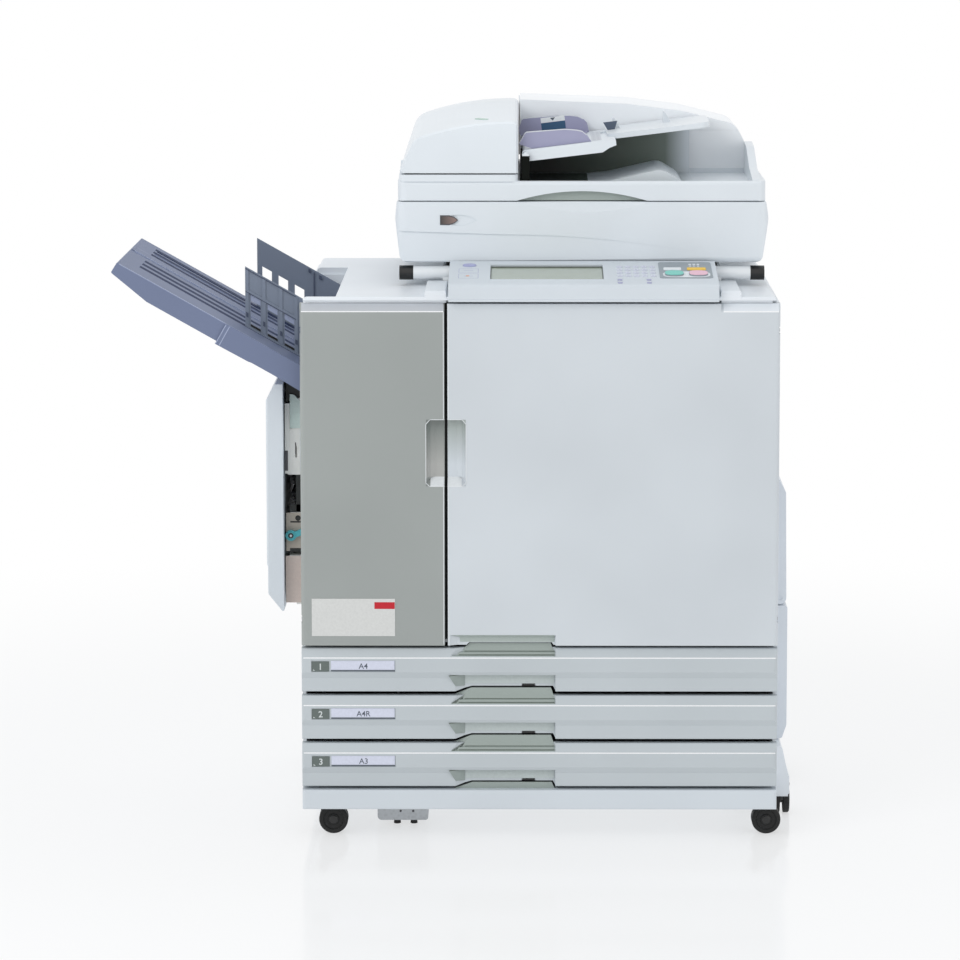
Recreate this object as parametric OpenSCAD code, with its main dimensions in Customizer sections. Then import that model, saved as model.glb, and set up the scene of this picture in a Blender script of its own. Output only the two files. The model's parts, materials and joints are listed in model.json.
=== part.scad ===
// Production inkjet printer: a floor-standing cabinet on castors with three paper
// drawers, two front doors, a sloping output tray on the left, a folded feed tray
// on the right and a document scanner carried on a tube stand.
// Millimetres. +Z is up, the front faces -Y, and the origin is on the floor under
// the centre of the cabinet.

/* [Cabinet] */
// Width of the cabinet
body_w = 810; // [780:5:850]
// Depth of the cabinet, from the door fronts to the rear panel
body_d = 640; // [620:5:690]
// Height of the top cover above the floor
body_h = 936; // [900:2:980]
// Thickness of the outer panels
panel_t = 6; // [4:1:8]
// Thickness of the top cover
cover_t = 12; // [10:1:16]
// Thickness of the cover's front lip
lip_t = 6; // [4:0.5:8]

/* [Base and castors] */
// Clear height of the base's lower edge above the castor wheels
base_gap = 5; // [4:1:10]
// Height of the base's skirt
base_h = 34; // [28:1:40]
// Diameter of the castor wheels
wheel_d = 50; // [46:1:50]
// Width of each of a castor's two wheels
wheel_t = 11; // [8:0.5:13]
// Distance from a castor's swivel axis to its axle
castor_trail = 18; // [14:1:22]
// Distance of the castors from the cabinet's sides
castor_inset_x = 32.5; // [30:0.5:60]
// Distance of the front castors from the door fronts
castor_inset_y = 63; // [55:1:90]

/* [Paper drawers] */
// Height of a drawer front
tray_h = 75.5; // [70:0.5:80]
// Clear gap between drawer fronts
tray_gap = 7; // [5.5:0.5:8]
// Clear gap between the base and the lowest drawer front
base_seam = 5; // [5:0.5:8]
// Clear gap between the top drawer front and the doors
door_seam = 5.5; // [5:0.5:8]
// Thickness of a drawer front
tray_front_t = 22; // [20:1:26]
// Distance between a drawer's box and the rear panel
tray_back = 72; // [50:1:120]
// Height of a drawer's box
tray_box_h = 52; // [40:1:56]
// Thickness of a drawer box's walls
tray_wall = 2.5; // [2:0.5:4]
// Distance of the finger grips from the cabinet's left side
grip_set = 249; // [200:1:300]
// Length of the finger grips
grip_w = 183; // [120:1:200]
// Depth of the finger grips
grip_d = 14; // [12:0.5:16]

/* [Doors] */
// Thickness of the doors
door_t = 24; // [22:1:28]
// Width of the left door
left_door_w = 244; // [220:1:300]
// Clear gap between the two doors
door_gap = 5; // [5:0.5:8]
// Radius of the hinge pins
hinge_pin_r = 4; // [3:0.5:4.5]
// Height of the grip recesses
door_grip_h = 114; // [90:1:140]
// Width of each grip recess
door_grip_w = 31; // [24:1:40]

/* [Control panel] */
// Distance of the control panel from the cabinet's right side
panel_set = 104; // [95:1:120]
// Length of the control panel
panel_w = 455; // [440:1:460]
// Depth of the control panel
panel_d = 176; // [160:1:180]
// Rise of the control panel's top over its depth
panel_rise = 22.5; // [15:0.5:25]

/* [Scanner] */
// Distance of the scanner from the cabinet's right side
scanner_set = 10; // [5:1:20]
// Width of the scanner
scanner_w = 644; // [630:2:660]
// Depth of the scanner
scanner_d = 520; // [500:5:540]
// Height of the scanner's base
scanner_h = 105; // [95:1:110]
// Gap between the control panel and the scanner
scanner_gap = 3; // [3:1:10]
// Diameter of the stand's tubes
tube_d = 24; // [22:1:26]

/* [Output tray] */
// Slope of the output tray
out_slope = 29.5; // [27:0.5:31]
// Drop from the cabinet's top to the tray's surface at the cabinet's side
out_drop = 121; // [115:1:136]
// Distance of the tray's front side behind the door fronts
out_set = 37; // [30:1:45]
// Width of the output tray, front to back
out_w = 428; // [400:2:430]
// Length of the tray outside the cabinet, along the slope
out_reach = 356; // [320:2:380]
// Length of the bracket's cheeks outside the cabinet, along the slope
out_base_reach = 145; // [140:1:160]
// Depth of the tray's sides
out_side = 38; // [34:1:42]
// Distance of the front fence from the tray's front side
fence_front_set = 96; // [70:1:110]
// Distance of the rear fence from the tray's rear side
fence_rear_set = 36; // [30:1:60]

/* [Side units] */
// Stand-off of the left side cover from the cabinet
side_gap = 34; // [30:1:36]
// Thickness of the left side cover
side_cover_t = 29; // [24:1:32]
// Thickness of the folded feed tray and its housing
feed_t = 26; // [22:1:30]

/* [Hidden] */
$fn = 64;

// Small play between pieces that slide or rest on each other
play = 0.3;
// Radial clearance of a pin in its bore
pin_play = 0.05;

white = [0.87, 0.89, 0.92];
grey = [0.63, 0.65, 0.65];
blue_grey = [0.47, 0.51, 0.61];
dark = [0.12, 0.12, 0.13];
steel = [0.62, 0.64, 0.66];
lavender = [0.62, 0.62, 0.75];

right_x = body_w / 2;
left_x = -right_x;
front_y = -body_d / 2;
rear_y = body_d / 2;
// Front edges of the cabinet's side panels, behind the closed doors
cabinet_y = front_y + door_t + 8;
base_z = wheel_d + base_gap;
base_top = base_z + base_h;
cover_z = body_h - cover_t;
inner_x = right_x - panel_t;

tray_pitch = tray_h + tray_gap;
function tray_z(n) = base_top + base_seam + (3 - n) * tray_pitch;
door_z = tray_z(1) + tray_h + door_seam;
door_top = body_h - lip_t - 5.5;
door_split = left_x + left_door_w;
hinge_x = right_x - 7;
hinge_y = front_y + door_t / 2;
hinge_levels = [door_z + 45, door_top - 45];
shelf_t = 5;

// A block given by its lowest and highest corners
module block(low, high) {
    translate(low) cube(high - low);
}

// A bar along X from x0 to x1 with the outline of its children, drawn as Y across and Z up
module along_x(x0, x1) {
    translate([x0, 0, 0]) rotate([90, 0, 90]) linear_extrude(x1 - x0) children();
}

// A bar along Y from y0 to y1 with the outline of its children, drawn as X across and Z up
module along_y(y0, y1) {
    translate([0, y1, 0]) rotate([90, 0, 0]) linear_extrude(y1 - y0) children();
}

// A rectangle with corners of radius r
module rounded(low, high, r) {
    size = high - low;
    translate(low) {
        translate([r, 0]) square([size[0] - 2 * r, size[1]]);
        translate([0, r]) square([size[0], size[1] - 2 * r]);
        for (x = [r, size[0] - r], y = [r, size[1] - r]) translate([x, y]) circle(r);
    }
}

// A rectangle whose two front corners have the radii r0 and r1
module front_rounded(low, high, r0, r1) {
    r = max(r0, r1);
    translate([low[0], low[1] + r]) square([high[0] - low[0], high[1] - low[1] - r]);
    translate([low[0] + r0, low[1]]) square([high[0] - low[0] - r0 - r1, r + 1]);
    translate([low[0] + r0, low[1] + r0]) circle(r0);
    translate([high[0] - r1, low[1] + r1]) circle(r1);
    translate([low[0], low[1] + r0]) square([r0, r - r0 + 1]);
    translate([high[0] - r1, low[1] + r1]) square([r1, r - r1 + 1]);
}

// The nib between corner i of an outline and the arc of radius r that rounds it
module corner_nib(points, i, r) {
    n = len(points);
    b = points[i];
    before = points[(i + n - 1) % n] - b;
    after = points[(i + 1) % n] - b;
    u = before / norm(before);
    v = after / norm(after);
    half = acos(u * v) / 2;
    inward = (u + v) / norm(u + v);
    reach = r / tan(half);
    centre = b + inward * r / sin(half);
    difference() {
        polygon([b + u * reach, b - inward * 0.2, b + v * reach, centre]);
        translate(centre) circle(r);
    }
}

// An outline whose corners have the given radii; a negative radius fills an inner corner
module filleted(points, radii) {
    difference() {
        union() {
            polygon(points);
            for (i = [0:len(points) - 1]) if (radii[i] < 0) corner_nib(points, i, -radii[i]);
        }
        for (i = [0:len(points) - 1]) if (radii[i] > 0) corner_nib(points, i, radii[i]);
    }
}

// ---- Base ----

castor_x = right_x - castor_inset_x;
castor_y = -front_y - castor_inset_y;
castor_plate_z = base_top - 12;

module base_frame() {
    color(white) difference() {
        intersection() {
            linear_extrude_from(base_z, base_top)
                front_rounded([left_x, front_y], [right_x, rear_y], 6, 6);
            along_x(left_x, right_x) filleted([
                [front_y, base_z], [rear_y, base_z], [rear_y, base_top], [front_y, base_top]
            ], [3, 2, 2, 2]);
        }
        block([left_x + 5, front_y + 5, base_z - 1], [right_x - 5, rear_y - 5, castor_plate_z]);
    }
}

module linear_extrude_from(z0, z1) {
    translate([0, 0, z0]) linear_extrude(z1 - z0) children();
}

// Places children at castor n, counted from the front left and round by the rear; castors 5
// and 6 stand under the outrigger on the right and trail backwards
module at_castor(n) {
    x = n > 4 ? outrigger_castor_x : (n == 1 || n == 4) ? -castor_x : castor_x;
    y = n > 4 ? (n == 5 ? -1 : 1) * outrigger_castor_y : n < 3 ? -castor_y : castor_y;
    translate([x, y, 0]) rotate(n > 4 ? 90 : 0) children();
}

wheel_gap = 6;
web_t = wheel_gap - 1;
axle_r = 3;

// Swivelling hood of a twin-wheel castor, with its stem and axle
module castor_fork(plate_z, plate_r) {
    axle_l = 2 * wheel_t + wheel_gap + 2;
    color(dark) {
        block([-4, -web_t / 2, wheel_d / 2 + 2], [castor_trail + 6, web_t / 2, wheel_d + 4]);
        translate([castor_trail, 0, wheel_d / 2]) rotate([90, 0, 0])
            cylinder(r = 8, h = web_t, center = true);
        intersection() {
            translate([castor_trail, 0, wheel_d / 2]) rotate([90, 0, 0])
                cylinder(r = wheel_d / 2 - 0.5, h = web_t, center = true);
            block([-wheel_d, -wheel_d, wheel_d / 2 + 2], [wheel_d, wheel_d, wheel_d]);
        }
        translate([0, 0, wheel_d + 3]) cylinder(r = 14, h = 4);
        translate([0, 0, wheel_d + 4]) cylinder(r = 7, h = plate_z - wheel_d - 5);
        translate([0, 0, plate_z - 4 - play]) cylinder(r = plate_r, h = 4);
        translate([castor_trail, 0, wheel_d / 2]) rotate([90, 0, 0])
            cylinder(r = axle_r, h = axle_l, center = true);
    }
}

// The two wheels of a castor, which turn together on the axle
module castor_wheels() {
    tyre_r = wheel_d / 2;
    color(dark) translate([castor_trail, 0, wheel_d / 2]) rotate([90, 0, 0])
        for (side = [0, 1]) mirror([0, 0, side]) translate([0, 0, wheel_gap / 2]) rotate_extrude()
            filleted([
                [axle_r + pin_play, 0], [tyre_r, 0], [tyre_r, wheel_t], [tyre_r - 7, wheel_t],
                [tyre_r - 8.5, wheel_t - 1.8], [10, wheel_t - 1.8], [9, wheel_t - 0.4],
                [axle_r + pin_play, wheel_t - 0.4]
            ], [0, 1, 4, 0.6, 0, 0, 0.6, 0]);
}

// ---- Cabinet ----

recess_front = front_y + out_set - 5;
recess_rear = front_y + out_set + out_w + 6;
recess_w = 61;
recess_x = left_x + recess_w;
out_z = body_h - out_drop;
recess_z = out_z - recess_w * tan(out_slope) - (out_side + 4) / cos(out_slope) - 16;

// A field of blind vent slots, drawn as X along the slots and Z up the field
module vent_slots(low, length, count, depth) {
    for (i = [0:count - 1])
        block([low[0], low[1], low[2] + i * vent_pitch],
            [low[0] + length, low[1] + depth, low[2] + i * vent_pitch + vent_h]);
}

vent_pitch = 12;
vent_h = 5;
vent_depth = 3.5;

module left_panel() {
    color(white) difference() {
        block([left_x, cabinet_y, base_top], [left_x + panel_t, rear_y, cover_z]);
        block([left_x - 1, recess_front, recess_z + 4], [left_x + panel_t + 1, recess_rear, cover_z + 1]);
        for (i = [0:9])
            block([left_x - 1, rear_y - 190, base_top + 30 + i * vent_pitch],
                  [left_x + vent_depth, rear_y - 40, base_top + 30 + i * vent_pitch + vent_h]);
    }
}

module right_panel() {
    latch_z = door_top - 162.5;
    color(white) {
        difference() {
            block([inner_x, cabinet_y, base_top], [right_x, rear_y, cover_z]);
            for (i = [0:11])
                block([right_x - vent_depth, rear_y - 220, door_top - 200 + i * vent_pitch],
                      [right_x + 1, rear_y - 60, door_top - 200 + i * vent_pitch + vent_h]);
        }
        along_x(right_x, right_x + 2)
            rounded([cabinet_y + 4, latch_z], [cabinet_y + 18, latch_z + 23.5], 3);
    }
}

module rear_panel() {
    plate = [rear_y - panel_t, rear_y];
    color(white) difference() {
        block([-inner_x, rear_y - panel_t, base_top], [inner_x, rear_y, cover_z]);
        for (x = [-330, 120]) vent_slots([x, rear_y - vent_depth, cover_z - 190], 190, 12, vent_depth + 1);
        vent_slots([-60, rear_y - vent_depth, base_top + 60], 150, 9, vent_depth + 1);
        // Pockets of the power inlet, the switch and the sockets
        along_y(plate[1] - 5, plate[1] + 1)
            rounded([-inner_x + 60, base_top + 40], [-inner_x + 118, base_top + 78], 4);
        along_y(plate[1] - 5, plate[1] + 1)
            rounded([-inner_x + 132, base_top + 44], [-inner_x + 156, base_top + 74], 3);
        along_y(plate[1] - 5, plate[1] + 1)
            rounded([inner_x - 190, base_top + 300], [inner_x - 60, base_top + 372], 5);
        // Seam between the upper and the lower sheet
        block([-inner_x - 1, plate[1] - 1, door_z - 1], [inner_x + 1, plate[1] + 1, door_z + 1]);
    }
}

module bay_shelf() {
    color(steel) block([-inner_x, cabinet_y, door_z], [inner_x, rear_y - panel_t, door_z + shelf_t]);
}

box_x = inner_x - 27;
tray_box_d = body_d - tray_front_t - panel_t - tray_back;
runner_t = 4;
rail_lip = 16;
function runner_z(n) = tray_z(n) + 30;

// One drawer rail: a channel on the side panel that holds the drawer's runner
module rail(z) {
    channel_h = runner_t + 2 * play;
    difference() {
        block([inner_x - rail_lip, cabinet_y + 4, z - play - 5],
            [inner_x, rear_y - panel_t - 20, z + channel_h + 5]);
        block([inner_x - rail_lip - 1, cabinet_y + 3, z - play],
            [inner_x - 6, rear_y - panel_t - 19, z + runner_t + play]);
    }
}

module tray_rails() {
    color(steel) for (n = [1:3]) {
        rail(runner_z(n));
        mirror([1, 0, 0]) rail(runner_z(n));
    }
}

fascia_y = cabinet_y + 26;

module inner_fascia() {
    color(white) difference() {
        block([-inner_x, fascia_y, door_z + shelf_t], [inner_x, fascia_y + 10, cover_z]);
        block([-inner_x - 1, fascia_y - 1, recess_z], [recess_x + 5, fascia_y + 11, cover_z + 1]);
    }
}

// Uprights beside and between the doors, which carry the hinges and the latches
module front_posts() {
    z0 = door_z + shelf_t;
    middle = door_split + door_gap / 2;
    color(steel) {
        block([-inner_x, cabinet_y, z0], [-inner_x + 24, fascia_y, recess_z]);
        block([inner_x - 24, cabinet_y, z0], [inner_x, fascia_y, cover_z]);
        block([middle - 12, cabinet_y, z0], [middle + 12, fascia_y, cover_z]);
    }
}

module ink_cartridges() {
    w = 130;
    h = 56;
    for (i = [0:3]) translate([left_x + 70, 0, door_z + 62 + i * 80]) color(dark) difference() {
        union() {
            along_y(fascia_y - 10, fascia_y) rounded([0, 0], [w, h], 6);
            along_y(fascia_y - 16, fascia_y - 9) rounded([8, 8], [w - 8, h - 8], 5);
        }
        along_y(fascia_y - 17, fascia_y - 6) rounded([w - 44, 16], [w - 16, h - 16], 5);
    }
}

// Hinge bracket with its upright pin, at one level of the left door
module hinge_bracket(z) {
    arm = 5;
    pin = 15;
    flange_t = 3;
    translate([0, 0, z - arm / 2]) linear_extrude(arm) {
        translate([-hinge_x, hinge_y]) circle(7);
        translate([-hinge_x - 1, hinge_y]) square([8, cabinet_y - hinge_y]);
    }
    block([-inner_x, cabinet_y - flange_t, z - 18], [-inner_x + 22, cabinet_y, z + 18]);
    translate([-hinge_x, hinge_y, z - arm / 2 - pin])
        cylinder(r = hinge_pin_r, h = arm + 2 * pin);
}

module door_hinges() {
    color(steel) for (z = hinge_levels) {
        hinge_bracket(z);
        mirror([1, 0, 0]) hinge_bracket(z);
    }
}

cover_x = right_x - 5;
cover_y = front_y + 5;

cover_round = 8;
// Slit between the control panel and the pads beside it
panel_slit = 4;

// Raised pad beside the control panel, from x0 to x1
module flank_pad(x0, x1) {
    top = tube_z - tube_d / 2 - 0.5;
    rear = tube_front - tube_d / 2 - 1;
    intersection() {
        along_x(x0, x1) filleted([
            [cover_y, body_h - lip_t], [rear, body_h - lip_t], [rear, top], [cover_y + 3, top],
                [cover_y, top - 6]
        ], [0, 0, 0, 3, 2]);
        along_y(cover_y, rear) filleted([
            [x0, body_h - lip_t], [x1, body_h - lip_t], [x1, top], [x0, top]
        ], [0, 0, 3, 3]);
    }
}

module top_cover() {
    color(white) difference() {
        union() {
            intersection() {
                along_y(cover_y, rear_y) filleted([
                    [-cover_x, cover_z], [cover_x, cover_z], [cover_x, body_h], [-cover_x, body_h]
                ], [0, 0, cover_round, cover_round]);
                along_x(-cover_x, cover_x) filleted([
                    [cover_y, body_h - lip_t], [cabinet_y, body_h - lip_t], [cabinet_y, cover_z],
                    [rear_y, cover_z], [rear_y, body_h], [cover_y, body_h]
                ], [0, 0, 0, 0, 3, 3]);
                linear_extrude_from(cover_z, body_h)
                    front_rounded([-cover_x, cover_y], [cover_x, rear_y], 6, 6);
            }
            flank_pad(panel_x - panel_slit - 36, panel_x - panel_slit);
            flank_pad(panel_x + panel_w + panel_slit, panel_x + panel_w + panel_slit + 34);
        }
        block([-cover_x - 1, recess_front, cover_z - 1], [recess_x, recess_rear, body_h + 1]);
        // Dip between the front lip and the recess
        block([-cover_x - 1, cover_y + 5, body_h - 4], [recess_x, recess_front + 1, body_h + 1]);
    }
}

// Lining of the recess at the top left, where the sheets leave the cabinet
module exit_housing() {
    color(white) {
        block([-inner_x, recess_front, recess_z], [recess_x, recess_rear, recess_z + 4]);
        difference() {
            block([recess_x, recess_front, recess_z], [recess_x + 4, recess_rear, cover_z]);
            block([recess_x - 1, recess_front + 30, recess_z + 90],
                [recess_x + 5, recess_rear - 30, recess_z + 120]);
        }
        block([-inner_x, recess_rear - 4, recess_z + 4], [recess_x, recess_rear, cover_z]);
        block([-inner_x, recess_front, recess_z + 4], [recess_x, recess_front + 4, cover_z]);
    }
}

// ---- Control panel ----

panel_x = right_x - panel_set - panel_w;
panel_front = front_y - 15;
panel_crease_z = body_h + 22.5;
panel_rear = front_y - 11 + panel_d;
panel_slope = atan(panel_rise / panel_d);

// Pocket of the touch screen, measured on the panel's sloping top
lcd_w = 192;
lcd_d = 106;
lcd_depth = 5.5;
lcd_x0 = panel_x + 70;
lcd_y0 = 40;
keys_x = panel_x + panel_w - 98;

module control_panel() {
    foot = door_top + 5;
    color(white) difference() {
        intersection() {
            along_x(panel_x, panel_x + panel_w) filleted([
                [panel_front, foot], [cover_y - play, foot], [cover_y - play, body_h],
                [panel_rear, body_h], [panel_rear, panel_crease_z + panel_rise],
                [panel_front + 1.2, panel_crease_z - 0.4], [panel_front + 1.2, foot + 4.4],
                    [panel_front, foot + 3.2]
            ], [1, 0, 0, 0, 4, 7, 0, 0]);
            linear_extrude_from(foot, panel_crease_z + panel_rise)
                front_rounded([panel_x, panel_front], [panel_x + panel_w, panel_rear], 4, 4);
        }
        on_panel() block([lcd_x0, lcd_y0, -lcd_depth], [lcd_x0 + lcd_w, lcd_y0 + lcd_d, 20]);
    }
}

// Places children on the panel's sloping top, with Y measured back from its crease
module on_panel() {
    translate([0, front_y - 11, panel_crease_z]) rotate([panel_slope, 0, 0]) children();
}

module lcd_screen() {
    color([0.65, 0.69, 0.63]) on_panel()
        block([lcd_x0, lcd_y0, -lcd_depth], [lcd_x0 + lcd_w, lcd_y0 + lcd_d, 1.5 - lcd_depth]);
}

module panel_keys() {
    key_r = 5;
    color(grey) on_panel() {
        for (i = [0:4], j = [0:3]) translate([lcd_x0 + lcd_w + 28 + i * 14, 62 + j * 22, 0])
            cylinder(r = key_r, h = 1.6, $fn = 48);
        // Start and stop keys on their grey field
        linear_extrude(0.8) rounded([keys_x, 46], [keys_x + 90, 162], 7);
        for (x = [keys_x + 9, keys_x + 50]) linear_extrude(3.4) rounded([x, 55], [x + 32, 87], 12);
        // Wake-up key
        translate([panel_x + 34, 137, 0]) scale([1.3, 1, 1]) cylinder(r = 9, h = 2);
    }
}

// ---- Doors ----

door_bore_h = 37;

// Pocket and bore for one hinge bracket, in the left door
module hinge_pocket(z) {
    slot = 12;
    block([left_x - 1, hinge_y - 9, z - slot / 2], [-hinge_x + 13, front_y + door_t + 1, z + slot / 2]);
    translate([-hinge_x, hinge_y, z - door_bore_h / 2])
        cylinder(r = hinge_pin_r + pin_play, h = door_bore_h);
}

// Bevel along the top edge of a door from x0 to x1
module door_bevel(x0, x1) {
    along_x(x0, x1) polygon([
        [front_y - 1, door_top - 13], [front_y, door_top - 12.5], [front_y + 12, door_top],
        [front_y + 12, door_top + 1], [front_y - 1, door_top + 1]
    ]);
}

// Scooped grip that opens at the door's free edge, drawn for the left door
module door_grip() {
    grip_z = door_top - 310.5;
    depth = 15;
    x0 = door_split - door_grip_w;
    intersection() {
        linear_extrude_from(grip_z, grip_z + door_grip_h) {
            translate([x0 + depth, front_y - 1]) square([door_grip_w, depth + 1]);
            translate([x0 + depth, front_y]) circle(depth);
        }
        along_x(x0, door_split + 1) polygon([
            [front_y - 1, grip_z], [front_y, grip_z], [front_y + depth, grip_z + 14],
            [front_y + depth + 1, grip_z + door_grip_h], [front_y - 1, grip_z + door_grip_h]
        ]);
    }
}

module left_door_panel() {
    color(grey) difference() {
        linear_extrude_from(door_z, door_top)
            front_rounded([left_x, front_y], [door_split, front_y + door_t], 8, 2);
        door_bevel(left_x - 1, door_split + 1);
        door_grip();
        for (z = hinge_levels) hinge_pocket(z);
    }
}

module right_door_panel() {
    x0 = door_split + door_gap;
    color(white) difference() {
        linear_extrude_from(door_z, door_top)
            front_rounded([x0, front_y], [right_x, front_y + door_t], 2, 8);
        door_bevel(panel_x + panel_w + 4, right_x + 1);
        translate([2 * door_split + door_gap, 0, 0]) mirror([1, 0, 0]) door_grip();
        for (z = hinge_levels) mirror([1, 0, 0]) hinge_pocket(z);
        // Finger room over the top drawer's grip
        intersection() {
            linear_extrude_from(door_z - 1, door_z + 20) grip_plan(8);
            along_x(x0 + 4, grip_x + grip_w + 1) polygon([
                [front_y - 1, door_z - 1], [front_y + 9, door_z - 1], [front_y + 8, door_z + 14],
                [front_y, door_z + 18.5], [front_y - 1, door_z + 18.5]
            ]);
        }
        along_y(front_y - 1, front_y + door_t + 1) polygon([
            [grip_x + 31, door_z - 1], [grip_x + 36, door_z + 4.3],
            [grip_x + grip_w - 6, door_z + 4.3], [grip_x + grip_w - 3, door_z - 1]
        ]);
    }
}

// ---- Paper drawers ----

grip_x = left_x + grip_set;
grip_slant = 28;
label_w = 143;
label_h = 20;

// Plan of a finger grip of the given depth, with a slanting left wall
module grip_plan(depth) {
    polygon([
        [grip_x, front_y - 1], [grip_x, front_y], [grip_x + grip_slant * depth / grip_d, front_y + depth],
        [grip_x + grip_w, front_y + depth], [grip_x + grip_w, front_y - 1]
    ]);
}

module tray_front(n) {
    z = tray_z(n);
    top = z + tray_h;
    rear = front_y + tray_front_t;
    color(white) difference() {
        intersection() {
            along_x(left_x, right_x) filleted([
                [front_y + 6, z], [rear, z], [rear, top], [front_y + 8, top],
                [front_y, top - 16], [front_y, top - 41], [front_y + 6, top - 52]
            ], [2, 0, 0, 2.5, 3, 1.5, 0]);
            linear_extrude_from(z - 1, top + 1)
                front_rounded([left_x, front_y], [right_x, rear], 4, 8);
        }
        // Finger grip, open below, with a raised lower edge and a latch notch
        linear_extrude_from(z - 1, top - 46) grip_plan(grip_d);
        along_y(front_y, rear + 1) polygon([
            [grip_x + 7, z - 1], [grip_x + 40.5, z + 8.7], [grip_x + grip_w - 4, z + 8.7],
                [grip_x + grip_w + 1, z - 1]
        ]);
        block([grip_x + 125.5, front_y, z + 8], [grip_x + 149, rear + 1, z + 12.5]);
        // Stepped finger room for the drawer or the door above
        intersection() {
            linear_extrude_from(top - 14, top + 1) grip_plan(grip_d);
            along_x(grip_x + 6, grip_x + grip_w + 1) polygon([
                [front_y - 1, top + 1], [front_y + grip_d, top + 1], [front_y + grip_d, top],
                [front_y + 12, top - 7.5], [front_y + 9, top - 8.5], [front_y + 7, top - 13],
                    [front_y - 1, top - 13.5]
            ]);
        }
        // Shallow seat of the number plate and the paper size label
        block([left_x + 16.5, front_y - 1, top - 40.5],
            [left_x + 16.5 + label_w, front_y + 1.5, top - 40.5 + label_h]);
    }
}

module tray_box(n) {
    z = tray_z(n) + 8;
    y0 = front_y + tray_front_t;
    color(steel) {
        difference() {
            block([-box_x, y0, z], [box_x, y0 + tray_box_d, z + tray_box_h]);
            block([-box_x + tray_wall, y0 + tray_wall, z + tray_wall],
                  [box_x - tray_wall, y0 + tray_box_d - tray_wall, z + tray_box_h + 1]);
        }
        for (side = [0, 1]) mirror([side, 0, 0])
            block([box_x, y0 + 14, runner_z(n)], [inner_x - 8, y0 + tray_box_d, runner_z(n) + runner_t]);
    }
}

// ---- Scanner ----

scanner_x = right_x - scanner_set - scanner_w;
scanner_y = panel_rear + scanner_gap;
scanner_z = body_h + 41;
scanner_top = scanner_z + scanner_h;
scanner_rear = scanner_y + scanner_d;
scanner_mid = scanner_x + scanner_w / 2;
tube_z = body_h + 10 + tube_d / 2;
tube_front = scanner_y + 17;
tube_rear = rear_y - 40;
tube_half = scanner_w / 2 - 7;
cap_l = 24;
// Distance of the stand's posts from its middle
post_x = tube_half - 95;

module stand_frame() {
    color(white) {
        for (y = [tube_front, tube_rear]) {
            translate([scanner_mid - tube_half + cap_l, y, tube_z]) rotate([0, 90, 0])
                cylinder(d = tube_d, h = 2 * (tube_half - cap_l));
            for (side = [-1, 1])
                block([scanner_mid + side * post_x - 20, y - 10, body_h],
                    [scanner_mid + side * post_x + 20, y + 10, tube_z]);
        }
        for (side = [-1, 1])
            block([scanner_mid + side * post_x - 20, tube_front, tube_z],
                  [scanner_mid + side * post_x + 20, tube_rear, tube_z + 10]);
    }
}

module stand_caps() {
    color(dark) for (y = [tube_front, tube_rear], side = [-1, 1])
        translate([scanner_mid + side * (tube_half - cap_l / 2), y, tube_z]) rotate([0, 90, 0])
            cylinder(d = tube_d + 1, h = cap_l, center = true);
}

module scanner_feet() {
    color(dark) for (y = [tube_front + 30, tube_rear - 30], side = [-1, 1])
        translate([scanner_mid + side * post_x, y, tube_z + 10])
            cylinder(r = 15, h = scanner_z - tube_z - 10);
}

lid_hinge_y = scanner_rear - 9;
lid_hinge_z = scanner_top + 13;
lid_rear = lid_hinge_y - 15;
hinge_half = 170;

// Lowered lower half of the scanner's front, under a long arc that fades out to the right
module front_sweep() {
    depth = 4;
    bend_x = scanner_mid - 137;
    arc_r = 1830;
    intersection() {
        linear_extrude_from(scanner_z - 1, scanner_z + 60) polygon([
            [scanner_x - 1, scanner_y - 1], [scanner_x - 1, scanner_y + depth],
            [scanner_x + scanner_w - 125, scanner_y], [scanner_x + scanner_w - 125, scanner_y - 1]
        ]);
        along_y(scanner_y - 2, scanner_y + depth + 2) {
            polygon([
                [scanner_x - 2, scanner_z - 1], [bend_x + 0.01, scanner_z - 1],
                    [bend_x + 0.01, scanner_z + 48.6],
                [scanner_x - 2, scanner_z + 55]
            ]);
            intersection() {
                translate([bend_x, scanner_z + 48.6 - arc_r]) circle(arc_r, $fn = 360);
                translate([bend_x, scanner_z - 2]) square([scanner_w, 100]);
            }
        }
    }
}

// Broad scoop in the base's top front edge, under the lid's grip
module grip_scoop() {
    scoop_r = 829;
    lean = atan(8 / 18);
    translate([scanner_mid + 8, scanner_y, scanner_top - 18]) rotate([-lean, 0, 0])
        translate([0, -scoop_r, -60]) cylinder(r = scoop_r, h = 160, $fn = 360);
}

lamp_depth = 2.5;
lamp_x = scanner_x + 109.5;
lamp_z = scanner_z + 73.3;

// Almond outline of the lamp's recess, drawn back from its edge by an inset
module lamp_almond(inset) {
    arc_r = 56.3;
    half = 9.5;
    intersection() {
        translate([lamp_x, lamp_z - arc_r + half]) circle(arc_r - inset);
        translate([lamp_x, lamp_z + arc_r - half]) circle(arc_r - inset);
    }
}

// Lens at the left end of the lamp's recess
module scanner_lamp() {
    color(steel) along_y(scanner_y + lamp_depth - 1.6, scanner_y + lamp_depth) intersection() {
        lamp_almond(1);
        translate([lamp_x - 40, lamp_z - 20]) square([37, 40]);
    }
}

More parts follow.
